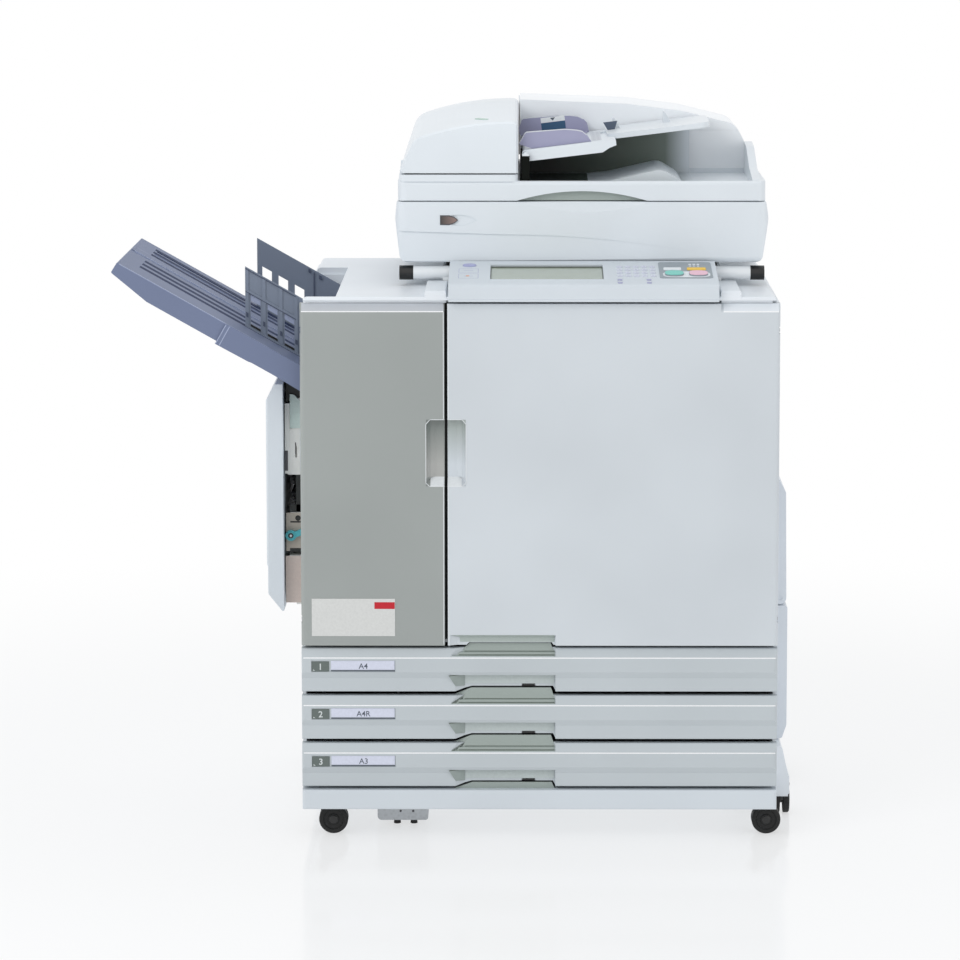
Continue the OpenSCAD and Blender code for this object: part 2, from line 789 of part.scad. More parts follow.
module scanner_base() {
    color(white) difference() {
        union() {
            intersection() {
                linear_extrude_from(scanner_z, scanner_top)
                    rounded([scanner_x, scanner_y], [scanner_x + scanner_w, scanner_rear], 18);
                along_y(scanner_y, scanner_rear) filleted([
                    [scanner_x + 9, scanner_z], [scanner_x + scanner_w - 12, scanner_z],
                    [scanner_x + scanner_w, scanner_z + 76], [scanner_x + scanner_w - 5, scanner_top],
                    [scanner_x + 3, scanner_top], [scanner_x, scanner_z + 76]
                ], [14, 14, 40, 2, 2, 40]);
                along_x(scanner_x, scanner_x + scanner_w) filleted([
                    [scanner_y, scanner_z], [scanner_rear, scanner_z], [scanner_rear, scanner_top],
                        [scanner_y, scanner_top]
                ], [10, 4, 2, 2.5]);
            }
            for (side = [-1, 1]) translate([scanner_mid + side * hinge_half, 0, 0]) {
                translate([-20, lid_hinge_y, lid_hinge_z]) rotate([0, 90, 0]) cylinder(r = 9, h = 40);
                block([-20, lid_hinge_y - 9, scanner_top - 2], [20, lid_hinge_y + 9, lid_hinge_z]);
            }
        }
        for (side = [-1, 1]) translate([scanner_mid + side * hinge_half - 21, lid_hinge_y, lid_hinge_z])
            rotate([0, 90, 0]) cylinder(r = 4 + pin_play, h = 42);
        block([glass_x0, glass_y0, scanner_top - 4], [glass_x1, glass_y1, scanner_top + 1]);
        front_sweep();
        grip_scoop();
        along_y(scanner_y - 1, scanner_y + lamp_depth) lamp_almond(0);
    }
}

glass_x1 = scanner_x + scanner_w - 40;
glass_x0 = glass_x1 - 432;
glass_y0 = scanner_y + 70;
glass_y1 = glass_y0 + 305;

module platen_glass() {
    color([0.6, 0.7, 0.75]) block([glass_x0, glass_y0, scanner_top - 4], [glass_x1, glass_y1, scanner_top]);
}

lid_z = scanner_top + 1.5;
lid_low = lid_z + 34;
lid_high = lid_z + 45;
lid_x0 = scanner_x + 5;
lid_x1 = scanner_x + scanner_w - 6;
hump_x1 = scanner_mid - 110;
hump_top = lid_z + 157;
hump_front_top = hump_top - 21;
ridge_y = scanner_y + 285;

// Arched finger grip in the lid's lower front edge
module lid_grip() {
    rise = 17;
    half = 113;
    arc_r = (half * half + rise * rise) / (2 * rise);
    along_y(scanner_y - 1, scanner_y + 13) intersection() {
        translate([scanner_mid, lid_z + rise - arc_r]) circle(arc_r, $fn = 360);
        translate([scanner_mid - half - 10, lid_z - 1]) square([2 * half + 20, 30]);
    }
}

// Wave in the eject tray's floor that lifts the sheets' ends
module eject_ramp() {
    along_y(scanner_y + 46, ridge_y - 2) filleted([
        [hump_x1 + 110, lid_low - 8.5], [lid_x1 - 140, lid_low - 8.5], [lid_x1 - 150, lid_low + 1],
        [lid_x1 - 178, lid_low + 17], [hump_x1 + 160, lid_low - 3]
    ], [0, 0, -30, 24, -60]);
}

// Raised right side of the eject tray, which rises to meet the feeder's rear housing
module eject_stop() {
    along_x(lid_x1 - 22, lid_x1 - 8) filleted([
        [scanner_y + 14, lid_low - 9], [ridge_y, lid_low - 9], [ridge_y, lid_low + 48],
        [ridge_y - 70, lid_low + 44], [scanner_y + 120, lid_low + 14], [scanner_y + 14, lid_low]
    ], [0, 0, 0, 30, -60, 20]);
}

module lid_base() {
    color(white) {
        difference() {
            union() {
                intersection() {
                    linear_extrude_from(lid_z, lid_low)
                        rounded([lid_x0, scanner_y], [lid_x1, lid_rear], 16);
                    along_x(lid_x0, lid_x1) filleted([
                        [scanner_y, lid_z], [lid_rear, lid_z], [lid_rear, lid_low], [scanner_y, lid_low]
                    ], [2, 2, 2, 7]);
                }
                linear_extrude_from(lid_low - 1, lid_high)
                    rounded([lid_x0 + 2, scanner_y + 1], [hump_x1, lid_rear], 14);
            }
            block([hump_x1 + 3, scanner_y + 12, lid_low - 8], [lid_x1 - 12, ridge_y - 2, lid_low + 30]);
            lid_grip();
        }
        eject_ramp();
        eject_stop();
        for (side = [-1, 1]) for (end = [-1, 1])
            translate([scanner_mid + side * hinge_half + end * 26, 0, 0]) {
            translate([-5, lid_hinge_y, lid_hinge_z]) rotate([0, 90, 0]) cylinder(r = 8, h = 10);
            block([-5, lid_rear - 1, lid_hinge_z - 8], [5, lid_hinge_y, lid_hinge_z + 8]);
        }
        for (side = [-1, 1]) translate([scanner_mid + side * hinge_half - 26, lid_hinge_y, lid_hinge_z])
            rotate([0, 90, 0]) cylinder(r = 4, h = 52);
        for (y = adf_ear_y) {
            block([adf_pivot_x - 3, y, lid_high - 1], [adf_pivot_x + 3, y + 6, adf_pivot_z]);
            translate([adf_pivot_x, y, adf_pivot_z]) rotate([-90, 0, 0]) cylinder(r = adf_pin_r, h = 16);
        }
        block([doc_x - 6, doc_y0 - 10, lid_low - 9], [doc_x + 6, doc_y0 - 4, doc_pivot_z]);
        translate([doc_x, doc_y0 - 10, doc_pivot_z]) rotate([-90, 0, 0]) cylinder(r = doc_pin_r, h = 24);
    }
}

// Rear housing of the document feeder, whose top falls away to the right
module adf_ridge() {
    color(white) translate([doc_x, doc_y1 - 14, doc_pivot_z]) rotate([-90, 0, 0])
        cylinder(r = doc_pin_r, h = ridge_y - doc_y1 + 15);
    color(white) difference() {
        intersection() {
            along_y(ridge_y, lid_rear) filleted([
                [hump_x1 + 3, lid_low], [lid_x1 - 16, lid_low], [lid_x1 - 22, lid_z + 83],
                [lid_x1 - 38, lid_z + 113], [lid_x1 - 130, lid_z + 136], [lid_x1 - 230, lid_z + 149],
                [hump_x1 + 3, hump_top]
            ], [0, 0, 30, 30, 200, 300, 0]);
            along_x(hump_x1 + 2, lid_x1) filleted([
                [ridge_y, lid_low], [lid_rear, lid_low], [lid_rear, hump_top], [ridge_y, hump_top]
            ], [0, 0, 24, 0]);
        }
        // Seam of the housing's cap
        block([lid_x1 - 110, ridge_y - 1, lid_z + 101.4], [lid_x1, ridge_y + 1.2, lid_z + 102.6]);
    }
}

cover_shell = 4;
adf_pivot_x = lid_x0 + 8.5;
adf_pivot_z = lid_high + 10;
adf_pin_r = 3;
adf_ear_y = [scanner_y + 30, lid_rear - 36];

// Outline of the feeder's hump, drawn back from its skin by an inset
module hump_outline(inset, top) {
    base = lid_high + 2.5;
    shoulder_r = 30 - inset;
    crown_r = 480 - inset;
    nose_r = 9 - inset;
    polygon(concat(
        [[lid_x0 + inset + 3, base + 4], [lid_x0 + inset + 5, base], [hump_x1 - inset, base]],
        [for (a = [0:22.5:67.5]) [hump_x1 - 9 + nose_r * cos(a), top - 9 + nose_r * sin(a)]],
        [for (a = [0:2.6:15.6]) [hump_x1 - 13 - crown_r * sin(a), top - 480 + crown_r * cos(a)]],
        [for (a = [108:13:173]) [lid_x0 + 50 + shoulder_r * cos(a), top - 54 + shoulder_r * sin(a)]]
    ));
}

module adf_cover() {
    color(white) difference() {
        hull() {
            along_y(scanner_y + 4, scanner_y + 5) hump_outline(3.5, hump_front_top);
            along_y(scanner_y + 9, scanner_y + 10) hump_outline(0, hump_front_top);
            along_y(ridge_y - 40, ridge_y + 40) hump_outline(0, hump_top);
            along_y(lid_rear - 40, lid_rear - 2) hump_outline(0, hump_top - 12);
        }
        hull() {
            along_y(scanner_y + 4 + cover_shell, scanner_y + 10) hump_outline(cover_shell, hump_front_top);
            along_y(ridge_y - 40, ridge_y + 40) hump_outline(cover_shell, hump_top);
            along_y(lid_rear - 40, lid_rear - 2 - cover_shell) hump_outline(cover_shell, hump_top - 12);
        }
        block([lid_x0 + 10, scanner_y + 8, lid_high], [hump_x1 - 4, lid_rear - 6, lid_high + 6]);
        for (y = adf_ear_y) {
            block([lid_x0, y - 1, lid_high], [adf_pivot_x + 4, y + 7, adf_pivot_z + 4.5]);
            translate([adf_pivot_x, y, adf_pivot_z]) rotate([-90, 0, 0])
                cylinder(r = adf_pin_r + pin_play, h = 17);
        }
        block([hump_x1 - 5, doc_y0, lid_high], [hump_x1 + 1, doc_y1, lid_high + 80]);
    }
    color(white) for (y = adf_ear_y) difference() {
        union() {
            translate([adf_pivot_x, y + 6.5, adf_pivot_z]) rotate([-90, 0, 0]) cylinder(r = 5, h = 10);
            block([adf_pivot_x - 4, y + 6.5, adf_pivot_z], [adf_pivot_x + 2, y + 16.5, adf_pivot_z + 12]);
        }
        translate([adf_pivot_x, y + 6, adf_pivot_z]) rotate([-90, 0, 0])
            cylinder(r = adf_pin_r + pin_play, h = 11);
    }
}

module adf_mechanism() {
    color(steel) along_y(scanner_y + 24, lid_rear - 20) polygon([
        [lid_x0 + 40, lid_high], [lid_x0 + 48, lid_high + 45], [lid_x0 + 80, lid_high + 68],
        [hump_x1 - 20, lid_high + 78], [hump_x1 - 20, lid_high]
    ]);
}

doc_tray_z = lid_z + 78;
doc_slope = 7;
doc_y0 = scanner_y + 26;
doc_y1 = ridge_y - 6;
doc_x = hump_x1 + 13;
doc_pin_r = 3;
doc_pivot_z = doc_tray_z + 2;

// Places children on the document tray's top, with X measured along the tray
module on_doc_tray() {
    translate([doc_x, 0, doc_pivot_z]) rotate([0, -doc_slope, 0]) translate([0, 0, -2]) children();
}

module document_tray() {
    color(white) on_doc_tray() {
        difference() {
            union() {
                along_y(doc_y0, doc_y1) filleted([
                    [2, 8], [2, -12], [132, -12.5], [145, -6], [157, -3], [157, 8]
                ], [0, 2, 6, 0, 0, 3]);
                translate([0, doc_y0, 2]) rotate([-90, 0, 0]) cylinder(r = 6, h = doc_y1 - doc_y0);
            }
            translate([0, doc_y0 - 1, 2]) rotate([-90, 0, 0])
                cylinder(r = doc_pin_r + pin_play, h = doc_y1 - doc_y0 + 2);
            block([8, doc_y0 + 4, -20], [150, doc_y1 - 4, 4]);
            // Finger recess between the scale and the extension
            linear_extrude_from(5, 9) rounded([134, doc_y0 + 150], [152, doc_y0 + 210], 4);
        }
        linear_extrude_from(4, 13) rounded([144, doc_y0 + 60], [324, doc_y1], 26);
        // Fins that stiffen the extension and stop its sheets
        for (x = [156, 246]) along_y(doc_y1 - 70, doc_y1 - 40) polygon([
            [x, 12], [x + 14, 12], [x + 6, 30], [x + 3, 32]
        ]);
    }
}

module guide_front() {
    rest = 8 + play;
    color(lavender) on_doc_tray() {
        along_y(doc_y0 + 10, doc_y0 + 14) polygon([
            [12, rest], [-8, 17.5], [-9.3, 20.5], [2.5, 36], [5.5, 38],
            [72, 35.2], [92, 31], [101, 28], [108, 21], [115, rest]
        ]);
        block([13, doc_y0 + 13, rest], [112, doc_y0 + 40, rest + 2]);
    }
}

module guide_rear() {
    rest = 8 + play;
    color(lavender) on_doc_tray() {
        along_y(doc_y1 - 14, doc_y1 - 10) polygon([
            [5, rest], [-7.5, 17.5], [-9, 20.5], [-9, 31], [-2, 44.5], [1.5, 47],
            [60, 45], [84, 42.5], [98, 39], [107, 33], [113, 25], [115, rest]
        ]);
        block([7, doc_y1 - 40, rest], [111, doc_y1 - 13, rest + 2]);
    }
}

// ---- Output tray ----

out_y0 = front_y + out_set;
out_y1 = out_y0 + out_w;
out_in = 68;

// Places children on the output tray's surface, with -X running up the slope
module on_output() {
    translate([left_x, 0, out_z]) rotate([0, out_slope, 0]) children();
}

out_plate = 4;
bracket_t = 3;
tray_side = out_side - bracket_t - 1;

// Long inverted tray: a sloping grooved top with a skirt on each side
module output_tray() {
    y0 = out_y0 + bracket_t;
    y1 = out_y1 - bracket_t;
    color(blue_grey) difference() {
        on_output() difference() {
            union() {
                along_y(y0, y1) filleted([
                    [-out_reach, 0], [-out_reach - 1, -20], [-out_reach + 76, -tray_side],
                    [out_in + 60, -tray_side], [out_in + 60, 0]
                ], [1.5, 3, 12, 0, 0]);
                // Raised band between the two groups of grooves
                along_y(out_y0 + 229, out_y0 + 274) polygon([
                    [-out_reach + 2, -1], [-out_reach + 2, 1], [-out_reach + 4, band_h],
                        [out_in + 60, band_h], [out_in + 60, -1]
                ]);
            }
            along_y(y0 + out_plate, y1 - out_plate) polygon([
                [-out_reach + 3, -out_plate], [-out_reach + 3, -60], [out_in + 61, -60],
                    [out_in + 61, -out_plate]
            ]);
            for (start = [98, 278], i = [0:2]) translate([0, out_y0 + start + i * 43, 0])
                rotate([90, 0, 90]) translate([0, 0,
                    -out_reach + 38]) linear_extrude(out_reach + out_in + 30)
                    polygon([[-6, 0.1], [-4, -2], [3, -2], [6, 0.1]]);
        }
        block([recess_x, y0 - 1, 600], [recess_x + 100, y1 + 1, body_h]);
    }
}

// Bracket that carries the tray: a cheek on each side and a floor between them
module output_bracket() {
    color(blue_grey) difference() {
        on_output() difference() {
            along_y(out_y0, out_y1) polygon([
                [-out_base_reach, 0], [-out_base_reach, -out_side - 1], [-out_base_reach + 64, -out_side],
                [-out_base_reach + 70, -out_side + 1], [-out_base_reach + 113, -out_side + 1],
                    [0, -out_side],
                [out_in + 60, -out_side - 4], [out_in + 60, 0]
            ]);
            along_y(out_y0 + bracket_t, out_y1 - bracket_t) polygon([
                [-out_base_reach - 1, -tray_side], [-out_base_reach - 1, 1], [out_in + 61, 1],
                    [out_in + 61, -tray_side]
            ]);
        }
        block([recess_x, out_y0 - 1, 600], [recess_x + 100, out_y1 + 1, body_h]);
    }
}

fence_t = 3;
// Height of the output tray's raised band
band_h = 1.6;
fence_front_y = out_y0 + fence_front_set;
fence_rear_y = out_y1 - fence_rear_set + fence_t;
fence_x0 = left_x - 100;

// Places children on the output tray between two upright planes
module on_output_between(x0, x1, y0, y1) {
    intersection() {
        on_output() children();
        block([x0, y0, 600], [x1, y1, 1200]);
    }
}

// A fence that stands on the output tray, with its top parallel to the slope, upright ribs at
// its back or front and a row of windows below window_top
module fence(y, height, x1, window_top, rib_y) {
    pitch = 29;
    base = play;
    difference() {
        union() {
            on_output_between(fence_x0, x1, y, y + fence_t)
                block([-200, y, base], [120, y + fence_t, height]);
            on_output_between(fence_x0, x1, y - 8, y + 8)
                block([-200, y - 8, base], [120, y + 8, base + 3]);
            for (x = [fence_x0, fence_x0 + pitch, fence_x0 + 2 * pitch, fence_x0 + 3 * pitch - 3])
                on_output_between(x, x + 6, rib_y, rib_y + 5)
                    block([-200, rib_y, base], [120, rib_y + 5, height - 3]);
            on_output_between(fence_x0, fence_x0 + 3 * pitch, rib_y, rib_y + 4)
                block([-200, rib_y, window_top + 1], [120, rib_y + 4, window_top + 5]);
        }
        for (i = [0:2]) on_output_between(fence_x0 + 9 + i * pitch, fence_x0 + pitch - 3 + i * pitch,
            y - 1, y + fence_t + 1)
            block([-200, y - 1, base + 7], [120, y + fence_t + 1, window_top]);
    }
}

module fence_front() {
    color(blue_grey) fence(fence_front_y, 89, recess_x - 12, 52, fence_front_y - 2);
}

module fence_rear() {
    color(blue_grey) fence(fence_rear_y, 106, recess_x - 12, 66, fence_rear_y + fence_t - 3);
}

// ---- Left side unit ----

side_y0 = front_y + 80;
side_y1 = side_y0 + 400;
side_z0 = door_z + 44;
side_z1 = out_z - 38;
side_levels = [side_z0 + 36, side_z1 - 57];
side_pivot_y = side_y1 - 8;
side_pivot_x = left_x - side_gap - side_cover_t / 2;

module side_unit() {
    rear = side_y1 - 40;
    front = side_y0 + 30;
    color([0.72, 0.72, 0.68]) {
        // Lower duct with its notched lower edge
        difference() {
            block([left_x - 26, front, side_z0 + 6], [left_x, rear, side_z0 + 91]);
            block([left_x - 27, front - 1, side_z0 + 5], [left_x - 14, front + 40, side_z0 + 14]);
            block([left_x - 27, front - 1, side_z0 + 50], [left_x - 22, front + 3, side_z0 + 78]);
        }
        // Middle duct with the hole of its catch
        difference() {
            block([left_x - 24, front + 4, side_z0 + 98], [left_x, rear, side_z0 + 166]);
            translate([left_x - 11, front + 3, side_z0 + 156]) rotate([-90, 0, 0])
                cylinder(r = 3.2, h = 12);
        }
        // Back of the roller bay
        block([left_x - 6, front + 8, side_z0 + 160], [left_x, rear, side_z0 + 236]);
        // Upper duct with its slots and slanting top
        difference() {
            along_y(front + 2, rear) polygon([
                [left_x, side_z0 + 232], [left_x - 28, side_z0 + 232], [left_x - 28, side_z0 + 350],
                [left_x - 20, side_z0 + 360], [left_x, side_z0 + 368]
            ]);
            block([left_x - 29, front + 1, side_z0 + 238], [left_x - 25, front + 6, side_z0 + 272]);
            block([left_x - 15, front + 1, side_z0 + 262], [left_x - 12, front + 9, side_z0 + 282]);
            block([left_x - 29, front + 1, side_z0 + 312], [left_x - 20, front + 5, side_z0 + 316]);
        }
        for (z = side_levels) difference() {
            block([side_pivot_x - 6, side_pivot_y - 6, z], [left_x, side_pivot_y + 6, z + 6]);
            translate([side_pivot_x, side_pivot_y, z - 1]) cylinder(r = 3 + pin_play, h = 8);
        }
    }
}

module side_lever() {
    z = side_z0 + 127;
    color([0.2, 0.65, 0.65]) difference() {
        union() {
            translate([left_x - 23, side_y0 + 24, z]) rotate([-90, 0, 0]) cylinder(r = 7, h = 10);
            along_y(side_y0 + 25, side_y0 + 34)
                polygon([[left_x - 20, z + 5], [left_x - 2, z + 12], [left_x - 2, z + 1],
                    [left_x - 20, z - 5]]);
        }
        translate([left_x - 23, side_y0 + 23, z]) rotate([-90, 0, 0]) cylinder(r = 2.6, h = 12);
    }
}

module side_cover() {
    x1 = left_x - side_gap;
    x0 = x1 - side_cover_t;
    color(white) difference() {
        intersection() {
            along_y(side_y0, side_y1) filleted([
                [x1, side_z0], [x1 - 3, side_z0], [x0 + 2, side_z0 + 30], [x0 + 2, side_z0 + 77],
                    [x0, side_z0 + 81],
                [x0, side_z1 - 28], [x0 + 15, side_z1], [x1, side_z1]
            ], [0, 0, 6, 0, 1, 10, 3, 0]);
            linear_extrude_from(side_z0, side_z1) filleted([
                [x0, side_y0], [x1, side_y0], [x1, side_y1], [x0, side_y1]
            ], [4, 0, 0, 6]);
        }
        for (z = side_levels)
            block([side_pivot_x - 9, side_pivot_y - 12, z - 4], [x1 + 1, side_y1 + 1, z + 10]);
    }
    color(white) for (z = side_levels) translate([side_pivot_x, side_pivot_y, z - 5])
        cylinder(r = 3, h = 16);
}

// ---- Right side ----

feed_y0 = front_y + 150;
feed_y1 = rear_y - 90;
feed_z0 = base_top + 56;
feed_pivot_z = door_z + 54;
feed_half = feed_t / 2 - 2;
feed_pivot_x = right_x + feed_t / 2;

module feed_housing() {
    top = feed_pivot_z - feed_half - 3;
    color(white) {
        along_y(feed_y0, feed_y1) filleted([
            [right_x, feed_z0], [right_x + feed_t - 8, feed_z0], [right_x + feed_t, feed_z0 + 24],
            [right_x + feed_t, top - 3], [right_x + feed_t - 3, top], [right_x, top]
        ], [0, 4, 8, 2, 1, 0]);
        for (y = [feed_y0 + 10, feed_y1 - 22]) {
            block([right_x + 2, y, top - 1], [feed_pivot_x + 6, y + 12, feed_pivot_z]);
            translate([feed_pivot_x, y, feed_pivot_z]) rotate([-90, 0, 0]) cylinder(r = 6, h = 12);
            translate([feed_pivot_x, y - 9, feed_pivot_z]) rotate([-90, 0, 0]) cylinder(r = 4, h = 30);
        }
    }
}

module feed_tray() {
    color(white) difference() {
        union() {
            along_y(feed_y0, feed_y1) filleted([
                [feed_pivot_x - feed_half, feed_pivot_z], [feed_pivot_x + feed_half, feed_pivot_z],
                [feed_pivot_x + feed_half - 2, feed_pivot_z + 185],
                    [feed_pivot_x - feed_half + 5, feed_pivot_z + 214],
                [feed_pivot_x - feed_half, feed_pivot_z + 214]
            ], [0, 0, 4, 2, 1]);
            translate([feed_pivot_x, feed_y0, feed_pivot_z]) rotate([-90, 0, 0])
                cylinder(r = feed_half, h = feed_y1 - feed_y0);
        }
        for (y = [feed_y0 + 10, feed_y1 - 22])
            block([right_x, y - 1, feed_pivot_z - 20], [right_x + feed_t + 5, y + 13, feed_pivot_z + 13]);
        translate([feed_pivot_x, feed_y0 - 1, feed_pivot_z]) rotate([-90, 0, 0])
            cylinder(r = 4 + pin_play, h = feed_y1 - feed_y0 + 2);
    }
}

outrigger_y0 = front_y + 95;
outrigger_y1 = rear_y - 90;
outrigger_castor_x = right_x + 21;
outrigger_castor_y = 134;
outrigger_lift = wheel_d + 9;

module outrigger() {
    lift = outrigger_lift;
    top = base_top + 54;
    color(white) {
        along_y(outrigger_y0, outrigger_y1) filleted([
            [right_x, lift], [right_x + 28, lift], [right_x + 28, base_top + 3],
                [right_x + 26, base_top + 3],
            [right_x + 15, top], [right_x, top]
        ], [0, 2, 2, 0, 6, 0]);
        // Front lip, turned down before the castor
        block([right_x, outrigger_y0, base_z], [right_x + 26, outrigger_y0 + 5, lift + 1]);
    }
}

// ---- Underside ----

lock_y = front_y + 125;

module lock_bracket() {
    low = [-281, 8];
    high = [-193, castor_plate_z];
    sheet = 2.5;
    color(steel) difference() {
        along_y(lock_y - 12, lock_y + 30) filleted([
            [low[0], low[1]], [high[0], low[1]], [high[0], high[1]], [low[0], high[1]]
        ], [7, 5, 0, 0]);
        block([low[0] + sheet, lock_y - 12 + sheet, low[1] + sheet],
            [high[0] - sheet, lock_y + 31, high[1] - sheet]);
        for (x = [low[0] + 40, low[0] + 62])
            translate([x, lock_y - 13, low[1] + 16]) rotate([-90, 0, 0]) cylinder(r = 2.2, h = 5);
    }
}

module rubber_feet() {
    color(dark) for (x = [-247, -218]) translate([x, lock_y, 0]) rotate_extrude() filleted([
        [0, 0], [6.5, 0], [5.5, 5.5], [7.5, 5.5], [7.5, 8], [0, 8]
    ], [0, 1, 0, 0.8, 0, 0]);
}

base_frame();
left_panel();
right_panel();
rear_panel();
bay_shelf();
tray_rails();
inner_fascia();
front_posts();
ink_cartridges();
door_hinges();
top_cover();
exit_housing();
control_panel();
lcd_screen();
panel_keys();
left_door_panel();
right_door_panel();
tray_front(1);  // tray_front_1
tray_box(1);  // tray_box_1
tray_front(2);  // tray_front_2
tray_box(2);  // tray_box_2
tray_front(3);  // tray_front_3
tray_box(3);  // tray_box_3
stand_frame();
stand_caps();
scanner_base();
platen_glass();
scanner_feet();
lid_base();
adf_ridge();
adf_mechanism();
adf_cover();
document_tray();
guide_front();
guide_rear();
output_tray();
output_bracket();
fence_front();
fence_rear();
side_unit();
side_lever();
side_cover();
feed_housing();
feed_tray();
outrigger();
lock_bracket();
rubber_feet();
scanner_lamp();
at_castor(1) castor_fork(castor_plate_z, 16);  // castor_fork_1
at_castor(1) castor_wheels();  // castor_wheels_1
at_castor(2) castor_fork(castor_plate_z, 16);  // castor_fork_2
at_castor(2) castor_wheels();  // castor_wheels_2
at_castor(3) castor_fork(castor_plate_z, 16);  // castor_fork_3
at_castor(3) castor_wheels();  // castor_wheels_3
at_castor(4) castor_fork(castor_plate_z, 16);  // castor_fork_4
at_castor(4) castor_wheels();  // castor_wheels_4
at_castor(5) castor_fork(outrigger_lift, 7);  // castor_fork_5
at_castor(5) castor_wheels();  // castor_wheels_5
at_castor(6) castor_fork(outrigger_lift, 7);  // castor_fork_6
at_castor(6) castor_wheels();  // castor_wheels_6
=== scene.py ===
"""Finishes, small parts and studio stage of a production inkjet printer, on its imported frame."""
import json
import math

import bmesh
import bpy
from bpy.props import FloatProperty, FloatVectorProperty, PointerProperty
from bpy.types import NodeSocket, Operator, Panel, PropertyGroup
from mathutils import Matrix, Vector


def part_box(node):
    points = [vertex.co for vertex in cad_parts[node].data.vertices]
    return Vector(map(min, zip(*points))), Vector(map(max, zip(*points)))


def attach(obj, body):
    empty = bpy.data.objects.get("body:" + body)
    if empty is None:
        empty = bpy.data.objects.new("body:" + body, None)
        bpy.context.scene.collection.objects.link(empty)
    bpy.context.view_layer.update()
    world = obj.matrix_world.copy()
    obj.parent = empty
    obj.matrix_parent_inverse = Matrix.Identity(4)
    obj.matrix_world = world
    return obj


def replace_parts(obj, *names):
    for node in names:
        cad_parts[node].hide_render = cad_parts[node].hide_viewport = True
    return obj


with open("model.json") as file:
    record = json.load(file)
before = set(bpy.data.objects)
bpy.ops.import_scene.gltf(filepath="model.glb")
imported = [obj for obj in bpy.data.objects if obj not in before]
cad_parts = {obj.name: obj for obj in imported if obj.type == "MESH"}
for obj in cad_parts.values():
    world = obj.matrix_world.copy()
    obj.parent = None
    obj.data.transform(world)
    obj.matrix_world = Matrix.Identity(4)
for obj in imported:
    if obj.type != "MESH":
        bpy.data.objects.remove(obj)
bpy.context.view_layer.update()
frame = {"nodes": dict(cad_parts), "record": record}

bl_info = {
    "name": "Production Inkjet Printer",
    "version": (1, 0, 0),
    "blender": (4, 5, 0),
    "location": "3D View > Sidebar > Printer",
    "description": "Dresses the frame of a production inkjet printer with finishes and small parts",
    "category": "Add Mesh",
}

MM = 0.001
DRAWERS = 1, 2, 3
CASTORS = range(1, 7)
SIDE_CASTORS = 5, 6


def linear(red, green, blue):
    """A colour given as 0 to 255 display values, as Blender's shaders take it."""
    def channel(value):
        value /= 255
        return value / 12.92 if value <= 0.04045 else ((value + 0.055) / 1.055) ** 2.4
    return channel(red), channel(green), channel(blue)


def colour(label, text, red, green, blue):
    return FloatVectorProperty(
        name=label, description=text, default=linear(red, green, blue),
        subtype="COLOR", size=3, min=0, max=1)


def length(label, text, millimetres):
    return FloatProperty(
        name=label, description=text, default=millimetres * MM,
        unit="LENGTH", subtype="DISTANCE", min=0)


def power(label, text, watts):
    return FloatProperty(name=label, description=text, default=watts, min=0, unit="POWER")


class PrinterColours(PropertyGroup):
    cover: colour("Covers", "Pale moulded covers of the cabinet", 227, 232, 237)
    door: colour("White door", "The white right door", 203, 209, 214)
    base: colour("Base", "Painted base frame and the control panel", 207, 214, 220)
    scanner: colour("Scanner", "Pale moulding of the scanner and its feeder", 223, 229, 234)
    # A paler copy of the scanner's plastic: painted light on the ridge
    ridge: colour("Ridge", "Palest cover, along the back of the feeder", 243, 246, 249)
    flank: colour("Flank", "Feed tray on the right side and its housing", 215, 221, 228)
    drawer: colour("Drawers", "Faces of the paper drawers", 188, 195, 199)
    # Grey-green tone, darker than the faces round it: painted shade of the finger rooms and partly
    # of the lid's grip
    ledge: colour("Finger ledges", "Grey-green ledges in the finger rooms", 158, 168, 163)
    grey_door: colour("Grey door", "The grey left door", 154, 159, 157)
    tray: colour("Output tray", "Blue-grey output tray and its bracket", 114, 124, 151)
    fence: colour("Fences", "Blue-grey fences on the output tray", 121, 131, 148)
    duct: colour("Ducts", "Pale ducts of the side unit", 224, 224, 219)
    # Near-black sheets at the feeder's exit, partly lining and partly painted shade
    lining: colour("Feeder lining", "Dark lining of the feeder's exit", 10, 14, 10)
    # Near-black of the posts and the side unit's bay, partly painted shade of the gaps and the bay
    posts: colour("Posts", "Dark painted posts and bays behind the doors", 24, 28, 26)
    black: colour("Black plastic", "Rollers, brackets and cartridges", 20, 22, 22)
    hood: colour("Glossy black plastic", "Castor hoods, latches and the stand's caps", 5, 6, 6)
    rubber: colour("Rubber", "Castor tyres and feet", 7, 8, 8)
    steel: colour("Plated steel", "Zinc-plated chassis parts", 176, 180, 184)
    enamel: colour("Enamel", "Glossy enamel of the stand's tubes", 238, 241, 243)
    screen: colour("Screen", "Touch screen of the control panel", 158, 167, 148)
    key: colour("Key field", "Grey field of the start and stop keys", 148, 157, 164)
    lavender: colour("Document guides", "Lavender guides of the document tray", 157, 157, 184)
    teal: colour("Release lever", "Teal release lever in the side unit", 66, 164, 172)
    glass: colour("Platen", "Scanner glass", 190, 204, 208)


class PrinterSizes(PropertyGroup):
    grain: length("Grain", "Size of the moulded plastic's fine grain", 0.9)
    mottle: length("Mottle", "Size of the faint tone changes in the plastic", 260)


class PrinterStage(PropertyGroup):
    key_power: power("Key lamp", "Power of the large front lamp", 62)
    fill_power: power("Fill lamp", "Power of the side lamp", 16)
    top_power: power("Top lamp", "Power of the overhead lamp", 20)
    left_power: power("Left lamp", "Power of the low lamp on the left", 7)
    sky: FloatProperty(
        name="Sky", description="Strength of the even light from all round", default=0.68, min=0)


# ---- Node trees and materials ----

